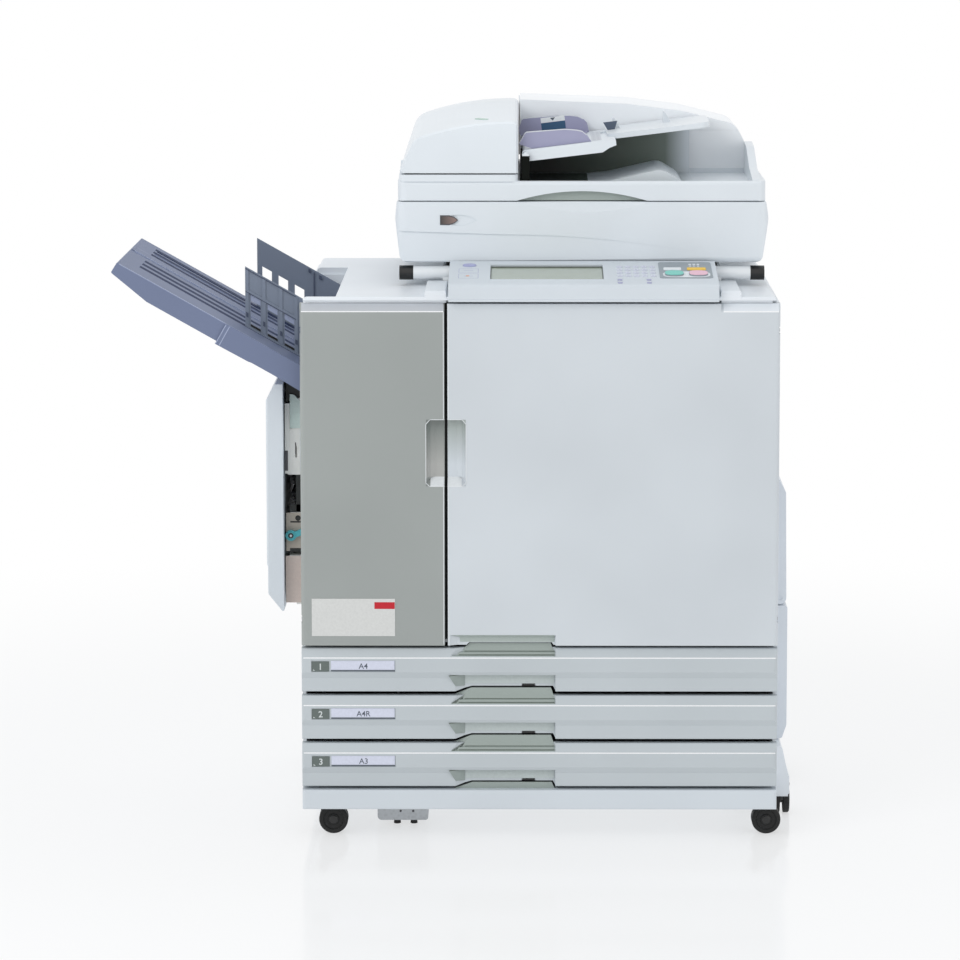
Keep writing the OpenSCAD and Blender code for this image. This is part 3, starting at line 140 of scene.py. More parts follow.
def feed(tree, node, inputs):
    """Gives each named input a plain value, or a link from the output that feeds it."""
    for name, value in inputs.items():
        if isinstance(value, NodeSocket):
            tree.links.new(value, node.inputs[name])
        else:
            node.inputs[name].default_value = value


def node_at(tree, kind, x, y, inputs=None, **settings):
    node = tree.nodes.new(kind)
    node.location = x, y
    for name, value in settings.items():
        setattr(node, name, value)
    feed(tree, node, inputs or {})
    return node


def start_material(name):
    material = bpy.data.materials.new(name)
    material.use_nodes = True
    tree = material.node_tree
    tree.nodes.clear()
    shader = node_at(tree, "ShaderNodeBsdfPrincipled", 300, 0)
    node_at(tree, "ShaderNodeOutputMaterial", 600, 0, {"Surface": shader.outputs["BSDF"]})
    where = node_at(tree, "ShaderNodeTexCoord", -900, 0)
    return material, tree, shader, where.outputs["Object"]


def noise(tree, where, size, detail=2, y=0):
    """Noise whose features are about size metres across."""
    texture = node_at(tree, "ShaderNodeTexNoise", -700, y, {
        "Scale": 1 / size, "Detail": detail, "Vector": where})
    return texture.outputs["Fac"]


def cells(tree, where, per_metre):
    """Distance to the middle of each of many small cells."""
    texture = node_at(tree, "ShaderNodeTexVoronoi", -700, 0, {"Scale": per_metre, "Vector": where})
    return texture.outputs["Distance"]


def ramp(tree, factor, low, high, start=0.3, end=0.7, x=-300, y=0):
    """Blends from the low to the high colour as the factor goes from start to end."""
    node = node_at(tree, "ShaderNodeValToRGB", x, y, {"Fac": factor})
    first, last = node.color_ramp.elements
    first.position, last.position = start, end
    first.color, last.color = (*low, 1), (*high, 1)
    return node.outputs["Color"]


def spread(tree, factor, low, high):
    """Maps a 0 to 1 factor to a range of plain values."""
    node = node_at(tree, "ShaderNodeMapRange", -300, -300, {
        "To Min": low, "To Max": high, "Value": factor})
    return node.outputs["Result"]


def along(tree, where, axis, start, end, x):
    """Goes from 0 to 1 between two places on an axis, in millimetres."""
    split = node_at(tree, "ShaderNodeSeparateXYZ", x - 200, 200, {"Vector": where})
    node = node_at(tree, "ShaderNodeMapRange", x, 200, {
        "From Min": start * MM, "From Max": end * MM, "Value": split.outputs[axis]})
    return node.outputs["Result"]


# Depth of the moulded grain, in millimetres
GRAIN_DEPTH = 0.06
COAT_ROUGHNESS = 0.12
# How dark the thin spots of a printed film are, against its full tone
THIN_FILM = 0.93


def moulded(name, base, roughness, sizes, mottle=None, shade=0.04, relief=0.2, coat=0.0, gloss=0.5):
    """Injection-moulded plastic: faint mottling, a fine spark-eroded grain and a satin gloss."""
    material, tree, shader, where = start_material(name)
    low = [c * (1 - shade) for c in base]
    high = [min(1, c * (1 + shade)) for c in base]
    fine = noise(tree, where, sizes.grain, y=-300)
    bump = node_at(tree, "ShaderNodeBump", 0, -400, {
        "Strength": relief, "Distance": GRAIN_DEPTH * MM, "Height": fine})
    feed(tree, shader, {
        "Base Color": ramp(tree, noise(tree, where, mottle or sizes.mottle), low, high),
        "Roughness": spread(tree, fine, roughness - 0.06, roughness + 0.08),
        "Normal": bump.outputs["Normal"], "Specular IOR Level": gloss})
    if coat:
        feed(tree, shader, {"Coat Weight": coat, "Coat Roughness": COAT_ROUGHNESS})
    return material


def plated_steel(name, base, spangles=180, dark=0.82, metallic=0.85):
    """Zinc-plated sheet: fine spangle in tone and gloss, with so many spangles to the metre."""
    material, tree, shader, where = start_material(name)
    grey = cells(tree, where, spangles)
    feed(tree, shader, {
        "Base Color": ramp(tree, grey, [c * dark for c in base], base, start=0, end=0.7),
        "Roughness": spread(tree, grey, 0.28, 0.46), "Metallic": metallic})
    return material


def glass_plate(name, tint, patch=0.05, dark=0.96, clear=0.35):
    """Clear plate with a faint film in patches of a size in metres."""
    material, tree, shader, where = start_material(name)
    film = noise(tree, where, patch)
    feed(tree, shader, {
        "Base Color": ramp(tree, film, [c * dark for c in tint], tint),
        "Roughness": spread(tree, film, 0.02, 0.06), "Transmission Weight": clear})
    return material


def rubber(name, base, patch=0.006, dusty=1.6):
    """Matt rubber with specks of paler dust."""
    material, tree, shader, where = start_material(name)
    dust = noise(tree, where, patch, 4)
    feed(tree, shader, {
        "Base Color": ramp(tree, dust, base, [c * dusty for c in base], start=0.35, end=0.8),
        "Roughness": spread(tree, dust, 0.55, 0.75)})
    return material


def screen_glass(name, base, dots=1500, coat=0.6):
    """Touch screen: fine dots of a display, so many to the metre, under a smeared gloss."""
    material, tree, shader, where = start_material(name)
    film = noise(tree, where, 0.03, y=-300)
    feed(tree, shader, {
        "Base Color": ramp(
            tree, cells(tree, where, dots), [c * THIN_FILM for c in base], base,
            start=0.1, end=0.6),
        "Roughness": spread(tree, film, 0.10, 0.18), "Coat Weight": coat})
    return material


def printed(name, base, roughness=0.5):
    """A flat printed or painted surface with a faint unevenness of tone."""
    material, tree, shader, where = start_material(name)
    film = noise(tree, where, 0.004)
    feed(tree, shader, {
        "Base Color": ramp(tree, film, [c * THIN_FILM for c in base], base),
        "Roughness": spread(tree, film, roughness - 0.05, roughness + 0.05)})
    return material


def graded(name, axis, start, end, tones, gloss=0.5):
    """A surface whose tone changes along an axis; tones are (position from 0 to 1, colour)."""
    material, tree, shader, where = start_material(name)
    bands = node_at(tree, "ShaderNodeValToRGB", -300, 0, {
        "Fac": along(tree, where, axis, start, end, -600)})
    for mark, (position, tone) in zip(bands.color_ramp.elements, (tones[0], tones[-1])):
        mark.position, mark.color = position, (*tone, 1)
    for position, tone in tones[1:-1]:
        bands.color_ramp.elements.new(position).color = (*tone, 1)
    film = noise(tree, where, 0.01, y=-300)
    feed(tree, shader, {
        "Base Color": bands.outputs["Color"],
        "Roughness": spread(tree, film, 0.42 - 0.3 * gloss, 0.52 - 0.3 * gloss),
        "Coat Weight": gloss})
    return material


def zoned(name, zones, roughness=0.45, last_zone=100):
    """Keys moulded in several colours along X: (start in millimetres, colour) pairs."""
    material, tree, shader, where = start_material(name)
    first, last = zones[0][0], zones[-1][0] + last_zone
    bands = node_at(tree, "ShaderNodeValToRGB", -450, 200, {
        "Fac": along(tree, where, "X", first, last, -700)})
    marks = bands.color_ramp.elements
    bands.color_ramp.interpolation = "CONSTANT"
    marks[0].color = (*zones[0][1], 1)
    marks.remove(marks[1])
    for start, base in zones[1:]:
        marks.new((start - first) / (last - first)).color = (*base, 1)
    film = noise(tree, where, 0.004, y=-200)
    thin = ramp(tree, film, [THIN_FILM] * 3, [1] * 3, x=-450, y=-100)
    shade = node_at(tree, "ShaderNodeMix", -150, 200, data_type="RGBA", blend_type="MULTIPLY")
    feed(tree, shade, {"Factor": 1, "A": bands.outputs["Color"], "B": thin})
    feed(tree, shader, {
        "Base Color": shade.outputs["Result"],
        "Roughness": spread(tree, film, roughness - 0.05, roughness + 0.05)})
    return material


def dress(material, *nodes):
    """Gives CAD nodes a material in place of their plain colour."""
    for name in nodes:
        mesh = frame["nodes"][name].data
        mesh.materials.clear()
        mesh.materials.append(material)


# Printed and painted surfaces of the small pieces, as 0 to 255 display values; the rim and room
# lines, the room and rib shades and the green room tone are painted shade, the white edges and
# beads are painted highlights, the tray's edge tone is partly painted highlight, and the label ink
# is also the painted shadow under the size cards
PRINTED = {
    "number_plate": (98, 108, 105), "plate_digit": (208, 214, 214), "label_card": (212, 216, 232),
    "label_ink_and_shadow": (84, 92, 104), "window_rim": (150, 158, 166), "pale_plate": (212, 213, 211),
    "red_tab": (192, 12, 34), "start_green": (126, 206, 194), "stop_pink": (236, 192, 208),
    "signal_yellow": (244, 200, 62), "pill_white": (232, 236, 240), "key_print": (178, 182, 206),
    "wake_lavender": (172, 176, 214), "key_lavender": (168, 168, 200), "painted_shade_line": (92, 100, 92),
    "pad_white": (232, 235, 236), "signal_orange": (232, 150, 92), "label_navy": (44, 84, 116),
    "clip_slate": (78, 90, 108), "scale_grey": (198, 203, 210), "scale_ink": (150, 156, 168),
    "pale_edge_and_highlight": (226, 230, 232), "band_cyan": (40, 160, 200), "band_magenta": (200, 50, 120),
    "band_yellow": (236, 206, 60), "band_black": (30, 30, 32), "rib_shadow": (70, 80, 102),
    "duct_plate": (200, 216, 210), "pin_gold": (190, 160, 90), "painted_bead_highlight": (250, 251, 252),
    "room_green_shade": (172, 182, 178), "room_shade": (150, 160, 157), "room_pale": (186, 195, 194),
    "duct_beige": (204, 189, 180), "duct_tan": (180, 171, 159), "tray_pale_and_highlight": (160, 170, 196),
    "faint_mark": (196, 200, 216),
}

# Surfaces whose tone changes along an axis: the axis, its start and end in millimetres, the gloss,
# and the tones as (position from 0 to 1, 0 to 255 display values)
GRADED = {
    "lamp_lens": ("X", -171, -143, 0.5, ((0, (44, 40, 38)), (1, (140, 116, 108)))),
    "feeder_lens": ("X", -116, -84, 0.5, ((0, (120, 168, 150)), (1, (168, 206, 192)))),
    # Painted shade in the feeder's exit: near-black at the left, pale to the right
    "exit_shade": ("X", 20, 270, 0.1, (
        (0, (15, 20, 15)), (0.3, (52, 66, 56)), (0.55, (84, 96, 86)), (0.82, (108, 118, 110)),
        (0.98, (214, 220, 225)))),
    # Painted shade in the doors' finger grip, darker towards the grip's top
    "grip_shade_grey": ("Z", 650, 716, 0.5, ((0, (168, 169, 166)), (1, (118, 125, 122)))),
    "grip_shade_pale": ("Z", 650, 716, 0.5, ((0, (205, 212, 218)), (1, (160, 169, 166)))),
    # Painted light on the grey door's sloping top, lighter towards its top
    "bevel_painted_light": ("Z", 911, 925, 0.2, ((0, (186, 190, 195)), (1, (196, 200, 206)))),
}


class PRINTER_OT_finishes(Operator):
    """Give every carried-over part of the frame its material"""
    bl_idname = "printer.finishes"
    bl_label = "Finishes"

    def execute(self, context):
        paint = context.scene.printer_colours
        sizes = context.scene.printer_sizes

        def plastic(name, base, roughness=0.42, **settings):
            return moulded(name, base, roughness, sizes, **settings)

        cover = plastic("cover_plastic", paint.cover)
        black = plastic("black_plastic", paint.black, 0.35)
        panel_keys = zoned("panel_key_plastic", (
            (-200, linear(176, 180, 212)), (-100, linear(216, 219, 232)), (200, paint.key)))
        by_slot = {
            "white_plastic": cover, "black_plastic": black, "keys": panel_keys,
            "door_grey": plastic("grey_door_plastic", paint.grey_door, 0.38),
            "tray_blue_grey": plastic("tray_plastic", paint.tray, 0.5, relief=0.5, gloss=0.25),
            "sheet_steel": plated_steel("plated_steel", paint.steel),
            "lcd": screen_glass("touch_screen", paint.screen),
            "lavender_plastic": plastic("guide_plastic", paint.lavender, 0.45),
            "teal_plastic": plastic("lever_plastic", paint.teal, 0.35),
            "platen": glass_plate("scanner_glass", paint.glass),
            "rubber": rubber("tyre_rubber", paint.rubber),
        }
        for part in frame["record"]["subparts"]:
            dress(by_slot[part["material_slot"]], part["node"])
        dress(plastic("scanner_plastic", paint.scanner, 0.36, coat=0.15),
              "scanner_base", "lid_base", "document_tray", "adf_cover")
        # The ridge and the feeder's seal in a paler copy of the scanner plastic: painted light
        dress(plastic("ridge_painted_light", paint.ridge, 0.36, coat=0.15), "adf_ridge")
        dress(plastic("tube_enamel", paint.enamel, 0.22, relief=0.05, coat=0.4), "stand_frame")
        # Near-black posts behind the doors' gap, partly painted shade
        dress(plastic("dark_paint_and_shade", paint.posts, 0.5), "front_posts")
        dress(plastic("hood_plastic", paint.hood, 0.3, coat=0.2),
              "stand_caps", *(f"castor_fork_{number}" for number in CASTORS))
        dress(plastic("drawer_plastic", paint.drawer, 0.40),
              *(f"tray_front_{number}" for number in DRAWERS))
        dress(plastic("door_plastic", paint.door, 0.40), "right_door_panel")
        dress(plastic("base_plastic", paint.base), "base_frame", "control_panel", "side_cover")
        dress(plastic("flank_plastic", paint.flank), "feed_tray", "feed_housing")
        dress(plastic("fence_plastic", paint.fence, 0.45, relief=0.5), "fence_front", "fence_rear")
        dress(plastic("duct_plastic", paint.duct, 0.45, mottle=0.06, shade=0.06), "side_unit")
        # Grey-green ledges and grip pad, their darker tone painted shade of the recesses
        plastic("ledge_grey_and_shade", paint.ledge, 0.45)
        # Near-black sheets at the feeder's exit, partly lining and partly painted shade
        plastic("dark_shade_lining", paint.lining, 0.6, gloss=0.1)
        # Dark strips along the output tray's grooves: painted shadow
        plastic("groove_painted_shadow", linear(44, 56, 86), 0.6, gloss=0.1)
        rubber("roller_rubber", linear(34, 36, 38))
        plated_steel("bright_steel", linear(200, 203, 206))
        for name, (axis, start, end, gloss, tones) in GRADED.items():
            graded(name, axis, start, end, [(at, linear(*tone)) for at, tone in tones], gloss)
        for name, tone in PRINTED.items():
            printed(name, linear(*tone))
        return {"FINISHED"}


# ---- Solids, drawn in millimetres ----

def bar(low, high, edge=0.0):
    """A box between two corners, with its edges rounded by edge."""
    size = [top - bottom for bottom, top in zip(low, high)]
    centre = [(top + bottom) / 2 for bottom, top in zip(low, high)]
    solid = bmesh.new()
    place = Matrix.Translation(centre) @ Matrix.Diagonal((*size, 1))
    bmesh.ops.create_cube(solid, size=1, matrix=place)
    if edge:
        ease(solid, solid.edges[:], edge)
    return solid


def ease(solid, edges, offset):
    bmesh.ops.bevel(solid, geom=edges, offset=offset, segments=2, affect="EDGES", profile=0.5)


def rounded(low, high, radius, steps=5):
    """Outline of a rectangle with round corners."""
    points = []
    for x, y, start in (
            (high[0], high[1], 0), (low[0], high[1], 90),
            (low[0], low[1], 180), (high[0], low[1], 270)):
        x += -radius if start in (0, 270) else radius
        y += -radius if start in (0, 90) else radius
        for step in range(steps + 1):
            angle = math.radians(start + 90 * step / steps)
            points.append((x + radius * math.cos(angle), y + radius * math.sin(angle)))
    return points


def border(low, high, foot, head=None, side=None):
    """Opposite corners of the four strips round a rectangle: foot, head, left and right."""
    (x0, y0), (x1, y1) = low, high
    head, side = head or foot, side or foot
    return (((x0, y0), (x1, y0 + foot)), ((x0, y1 - head), (x1, y1)),
            ((x0, y0 + foot), (x0 + side, y1 - head)), ((x1 - side, y0 + foot), (x1, y1 - head)))


def extrusion(outline, low, high, axis="Z", edge=0.0):
    """A prism between two levels of an axis; its outline lies on the other two axes."""
    def place(u, v, level):
        return {"X": (level, u, v), "Y": (u, level, v), "Z": (u, v, level)}[axis]
    solid = bmesh.new()
    rings = [[solid.verts.new(place(u, v, level)) for u, v in outline] for level in (low, high)]
    caps = [solid.faces.new(ring) for ring in rings]
    for i in range(len(outline)):
        j = (i + 1) % len(outline)
        solid.faces.new((rings[0][i], rings[0][j], rings[1][j], rings[1][i]))
    if edge:
        ease(solid, list({rim for cap in caps for rim in cap.edges}), edge)
    bmesh.ops.recalc_face_normals(solid, faces=solid.faces[:])
    return solid


def turning(profile, sides=32):
    """A solid turned about Z from (radius, height) points, closed where the radius is 0."""
    solid = bmesh.new()
    turns = [2 * math.pi * i / sides for i in range(sides)]
    rings = []
    for radius, height in profile:
        if radius:
            rings.append([
                solid.verts.new((radius * math.cos(turn), radius * math.sin(turn), height))
                for turn in turns])
        else:
            rings.append([solid.verts.new((0, 0, height))] * sides)
    pairs = list(zip(rings, rings[1:]))
    if profile[0][0] and profile[-1][0]:
        pairs.append((rings[-1], rings[0]))
    for lower, upper in pairs:
        for i in range(sides):
            j = (i + 1) % sides
            ring = list(dict.fromkeys((lower[i], lower[j], upper[j], upper[i])))
            if len(ring) > 2:
                solid.faces.new(ring)
    bmesh.ops.recalc_face_normals(solid, faces=solid.faces[:])
    return solid


def stud(radius, base, top, chamfer=(0, 0), sides=20):
    """A round stud between two heights; chamfer is how far its rim is cut, inwards and down."""
    inward, down = chamfer
    rim = [(radius, top - down), (radius - inward, top)] if inward else [(radius, top)]
    return turning([(0, base), (radius, base), *rim, (0, top)], sides)


# Height of a capital letter, as a share of the font's size
CAP_HEIGHT = 0.7


def lettering(words, height, depth, weight):
    """Raised letters on the XZ plane, centred on X, facing the front; weight thickens strokes."""
    curve = bpy.data.curves.new("words", "FONT")
    curve.body, curve.size, curve.extrude = words, height / CAP_HEIGHT, depth / 2
    curve.align_x, curve.resolution_u, curve.offset = "CENTER", 3, weight
    holder = bpy.data.objects.new("words", curve)
    mesh = evaluated_mesh(holder)
    solid = bmesh.new()
    solid.from_mesh(mesh)
    bmesh.ops.remove_doubles(solid, verts=solid.verts[:], dist=0.001)
    bmesh.ops.rotate(solid, verts=solid.verts[:], matrix=Matrix.Rotation(math.pi / 2, 3, "X"))
    bpy.data.objects.remove(holder)
    bpy.data.meshes.remove(mesh)
    return solid


def evaluated_mesh(holder):
    """The finished mesh of an object that is new to the scene."""
    bpy.context.scene.collection.objects.link(holder)
    view = bpy.context.evaluated_depsgraph_get()
    return bpy.data.meshes.new_from_object(holder.evaluated_get(view))


class Shape:
    """A piece under construction: closed solids in millimetres, drawn from a place of its own."""

    def __init__(self, *finishes, at=Matrix()):
        self.finishes = [bpy.data.materials[name] for name in finishes]
        self.at = at
        self.mesh = bmesh.new()

    def add(self, solid, finish=0, place=Matrix()):
        for face in solid.faces:
            face.material_index = finish
        bmesh.ops.transform(solid, matrix=self.at @ place, verts=solid.verts[:])
        passing = bpy.data.meshes.new("passing")
        solid.to_mesh(passing)
        solid.free()
        self.mesh.from_mesh(passing)
        bpy.data.meshes.remove(passing)

    def bar(self, low, high, edge=0.0, finish=0):
        self.add(bar(low, high, edge), finish)

    def prism(self, outline, low, high, axis="Z", edge=0.0, finish=0):
        self.add(extrusion(outline, low, high, axis, edge), finish)

    def finish(self, name, body="cabinet", slot="white_plastic", smooth=False):
        bmesh.ops.scale(self.mesh, vec=(MM, MM, MM), verts=self.mesh.verts[:])
        for face in self.mesh.faces:
            face.smooth = smooth
        mesh = bpy.data.meshes.new(name)
        self.mesh.to_mesh(mesh)
        self.mesh.free()
        for material in self.finishes:
            mesh.materials.append(material)
        if smooth:
            mesh.set_sharp_from_angle(angle=math.radians(32))
        return ride(name, mesh, body)


def ride(name, mesh, body):
    """Makes a finished mesh a piece that moves with a body of the frame."""
    piece = bpy.data.objects.new(name, mesh)
    bpy.context.scene.collection.objects.link(piece)
    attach(piece, body)
    return piece


def corners(node):
    """Lowest and highest corner of a frame node, in millimetres."""
    return [[value / MM for value in corner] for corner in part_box(node)]


def shift(x, y, z):
    return Matrix.Translation((x, y, z))


def facing(x, y, z, axis):
    """A place whose Z axis points along the given direction."""
    return shift(x, y, z) @ Vector(axis).to_track_quat("Z", "Y").to_matrix().to_4x4()


FORWARD = 0, -1, 0


# ---- Rows of like parts, made with Geometry Nodes ----

def start_tree(name, *inputs):
    """A node group with sockets for its inputs: the tree, its socket ids and what it is given."""
    tree = bpy.data.node_groups.new(name, "GeometryNodeTree")
    tree.interface.new_socket(name="Geometry", in_out="OUTPUT", socket_type="NodeSocketGeometry")
    ids = {}
    for label, kind in inputs:
        socket = tree.interface.new_socket(
            name=label, in_out="INPUT", socket_type="NodeSocket" + kind)
        ids[label] = socket.identifier
    return tree, ids, node_at(tree, "NodeGroupInput", -1100, 0).outputs


def close_tree(tree, geometry, material):
    """Ends a tree in Realize Instances and Set Material."""
    real = node_at(tree, "GeometryNodeRealizeInstances", 0, 0, {"Geometry": geometry})
    paint = node_at(tree, "GeometryNodeSetMaterial", 200, 0, {
        "Geometry": real.outputs["Geometry"], "Material": material})
    node_at(tree, "NodeGroupOutput", 400, 0, {"Geometry": paint.outputs["Geometry"]})


def roller_tree():
    """A row of like rollers along Y."""
    tree, ids, given = start_tree(
        "roller_row", ("Count", "Int"), ("Start", "Vector"), ("Step", "Vector"),
        ("Radius", "Float"), ("Width", "Float"), ("Material", "Material"))
    line = node_at(tree, "GeometryNodeMeshLine", -600, 200, {
        "Count": given["Count"], "Start Location": given["Start"], "Offset": given["Step"]},
        mode="OFFSET")
    roller = node_at(tree, "GeometryNodeMeshCylinder", -600, -100, {
        "Vertices": 28, "Radius": given["Radius"], "Depth": given["Width"]})
    row = node_at(tree, "GeometryNodeInstanceOnPoints", -300, 100, {
        "Points": line.outputs["Mesh"], "Instance": roller.outputs["Mesh"],
        "Rotation": (math.pi / 2, 0, 0)})
    close_tree(tree, row.outputs["Instances"], given["Material"])
    return tree, ids


def mark_tree():
    """A grid of like small blocks on the XY plane."""
    tree, ids, given = start_tree(
        "mark_grid", ("Columns", "Int"), ("Rows", "Int"), ("Width", "Float"), ("Depth", "Float"),
        ("Mark", "Vector"), ("Material", "Material"))
    grid = node_at(tree, "GeometryNodeMeshGrid", -600, 100, {
        "Vertices X": given["Columns"], "Vertices Y": given["Rows"],
        "Size X": given["Width"], "Size Y": given["Depth"]})
    mark = node_at(tree, "GeometryNodeMeshCube", -600, -200, {"Size": given["Mark"]})
    marks = node_at(tree, "GeometryNodeInstanceOnPoints", -300, 0, {
        "Points": grid.outputs["Mesh"], "Instance": mark.outputs["Mesh"]})
    close_tree(tree, marks.outputs["Instances"], given["Material"])
    return tree, ids


def screw_tree(sides=18, narrowing=0.72, slot_size=(0.0043, 0.0009, 0.0012)):
    """Cross-head screws on points, each turned to its point's facing attribute."""
    tree, ids, given = start_tree(
        "screw_heads", ("Geometry", "Geometry"), ("Radius", "Float"), ("Height", "Float"),
        ("Material", "Material"))
    narrow = node_at(tree, "ShaderNodeMath", -1000, -300, {
        0: given["Radius"], 1: narrowing}, operation="MULTIPLY")
    head = node_at(tree, "GeometryNodeMeshCone", -800, -200, {
        "Vertices": sides, "Radius Bottom": given["Radius"], "Depth": given["Height"],
        "Radius Top": narrow.outputs["Value"]})
    cut = node_at(
        tree, "GeometryNodeMeshBoolean", -400, -200, operation="DIFFERENCE", solver="EXACT")
    feed(tree, cut, {"Mesh 1": head.outputs["Mesh"]})
    top = node_at(tree, "ShaderNodeCombineXYZ", -1000, -600, {"Z": given["Height"]})
    for turn in (0, math.pi / 2):
        slot = node_at(tree, "GeometryNodeMeshCube", -800, -500 - 200 * turn, {"Size": slot_size})
        lift = node_at(tree, "GeometryNodeTransform", -600, -500 - 200 * turn, {
            "Geometry": slot.outputs["Mesh"], "Translation": top.outputs["Vector"],
            "Rotation": (0, 0, turn)})
        feed(tree, cut, {"Mesh 2": lift.outputs["Geometry"]})
    way = node_at(tree, "GeometryNodeInputNamedAttribute", -800, 300, data_type="FLOAT_VECTOR")
    feed(tree, way, {"Name": "facing"})
    align = node_at(tree, "FunctionNodeAlignRotationToVector", -600, 300, {
        "Vector": way.outputs["Attribute"]}, axis="Z")
    heads = node_at(tree, "GeometryNodeInstanceOnPoints", -200, 0, {
        "Points": given["Geometry"], "Instance": cut.outputs["Mesh"],
        "Rotation": align.outputs["Rotation"]})
    close_tree(tree, heads.outputs["Instances"], given["Material"])
    return tree, ids


def grown(name, base, made, material, values, body, place=None):
    """Runs a node tree over a base mesh and keeps the result as a plain piece."""
    tree, ids = made
    holder = bpy.data.objects.new(name + "_maker", base)
    modifier = holder.modifiers.new("maker", "NODES")
    modifier.node_group = tree
    for key, value in values.items():
        modifier[ids[key]] = value
    modifier[ids["Material"]] = bpy.data.materials[material]
    mesh = evaluated_mesh(holder)
    holder.modifiers.remove(modifier)
    bpy.data.objects.remove(holder)
    if not mesh.polygons:
        raise RuntimeError(f"{name} came out empty")
    mesh.name = name
    if place is not None:
        mesh.transform(place)
    return ride(name, mesh, body)


def roller_row(name, body, centre, radius, width, count, pitch, shaft, metal="bright_steel"):
    """Rollers on a shaft along Y, spaced evenly about a centre; shaft is its (radius, length)."""
    x, y, z = centre
    start = (x * MM, (y - pitch * (count - 1) / 2) * MM, z * MM)
    grown(name, bpy.data.meshes.new(name), roller_tree(), "roller_rubber", {
        "Count": count, "Start": start, "Step": (0, pitch * MM, 0), "Radius": radius * MM,
        "Width": width * MM}, body)
    thick, long = shaft
    ease_end = 0.6
    half = [(0, long / 2), (thick - ease_end, long / 2), (thick, long / 2 - ease_end)]
    spindle = Shape(metal)
    outline = [(out, -end) for out, end in half] + half[::-1]
    spindle.add(turning(outline, sides=20), 0, facing(x, y, z, (0, 1, 0)))
    spindle.finish(name + "_shaft", body, "sheet_steel", smooth=True)


def mark_grid(name, body, grid, size, mark, material, place):
    """A grid of like marks in columns and rows, put in its place by a matrix in millimetres."""
    scale = Matrix.Scale(MM, 4)
    return grown(name, bpy.data.meshes.new(name), mark_tree(), material, {
        "Columns": grid[0], "Rows": grid[1], "Width": size[0] * MM, "Depth": size[1] * MM,
        "Mark": [value * MM for value in mark]}, body, scale @ place @ scale.inverted())


def screws(name, body, places, radius=3.4, height=1.5):
    """Screw heads at (x, y, z) places in millimetres, each with the direction it faces."""
    base = bpy.data.meshes.new(name)
    base.from_pydata([[value * MM for value in place] for place, way in places], [], [])
    ways = base.attributes.new("facing", "FLOAT_VECTOR", "POINT")
    ways.data.foreach_set("vector", [value for place, way in places for value in way])
    return grown(name, base, screw_tree(), "bright_steel", {
        "Radius": radius * MM, "Height": height * MM}, body)


# ---- Cabinet, doors and drawers ----

# The drawers' finger rooms: their left end from the drawer's left side, and their width
GRIP_LEFT = 249
GRIP_WIDTH = 183


def finger_ledge(rise, notch):
    """Stepped ledge in a drawer's finger room, drawn from the room's left end and the drawer's top.

    rise is how far its back stands over the drawer; notch is where the back starts and ends."""
    profile = (
        (1.3, -13.4), (1.5, -12.8), (6.6, -12.3), (8.6, -7.8), (11.7, -6.8), (13.4, 0.3),
        (14.2, rise), (20.8, rise), (20.8, 0.1), (14.0, 0.1), (12.1, -7.5), (9.1, -8.5),
        (7.1, -13.0))
    low_start, high_start, high_end, low_end = notch
    solid = extrusion(profile, 0, GRIP_WIDTH - 1, "X")
    for vert in solid.verts:
        x, depth, height = vert.co
        raised = height > 1
        if x < 1:
            slant = 2 * depth + 1.5
            vert.co.x = high_start if raised else low_start if depth > 20 else slant
        elif depth > 13:
            vert.co.x = high_end if raised else low_end
    return solid


class PRINTER_OT_drawer_labels(Operator):
    """Put the number plate and the paper size card on each drawer"""
    bl_idname = "printer.drawer_labels"
    bl_label = "Drawer Labels"

    def execute(self, context):
        for number, size in zip(DRAWERS, ("A4", "A4R", "A3")):
            low, high = corners(f"tray_front_{number}")
            at = shift(low[0], low[1] + 1.5, high[2])
            body = f"drawer_{number}"
            plate = Shape("number_plate", "plate_digit", at=at)
            plate.prism(rounded((17, -39.6), (47, -22.2), radius=0.8), -0.9, 0, "Y", edge=0.2)
            plate.add(lettering(str(number), height=10.5, depth=0.3, weight=0.28), 1,
                      shift(32, -1, -36.4))
            plate.prism([(19.5, -38), (23, -38), (19.5, -35.6)], -1.05, -0.8, "Y", finish=1)
            plate.finish(f"{body}_number_plate", body, "black_plastic")
            left, right, foot = 50, 159, -36.5
            card = Shape("label_card", "label_ink_and_shadow", "window_rim", at=at)
            card.bar((left, -0.5, foot), (right, 0, -21), 0.1)
            # A dark strip under the card: its slot, with painted shadow
            card.bar((left, -0.8, foot - 2.9), (right, 0, foot - 0.7), 0.2, 1)
            card.bar((right - 0.8, -1.1, foot), (right + 0.3, 0, -20.8), 0.2, 2)
            card.add(lettering(size, height=9.3, depth=0.2, weight=0.12), 1,
                     shift(105, -0.55, -34.8))
            card.finish(f"{body}_size_card", body)
            # A painted highlight along the rounded top of the drawer's face
            bead = Shape("painted_bead_highlight", at=at)
            bead.bar((3, -1.85, -17), (high[0] - low[0] - 3, -1, -15), 0.4)
            bead.finish(f"{body}_ridge_bead_highlight", body)
        return {"FINISHED"}


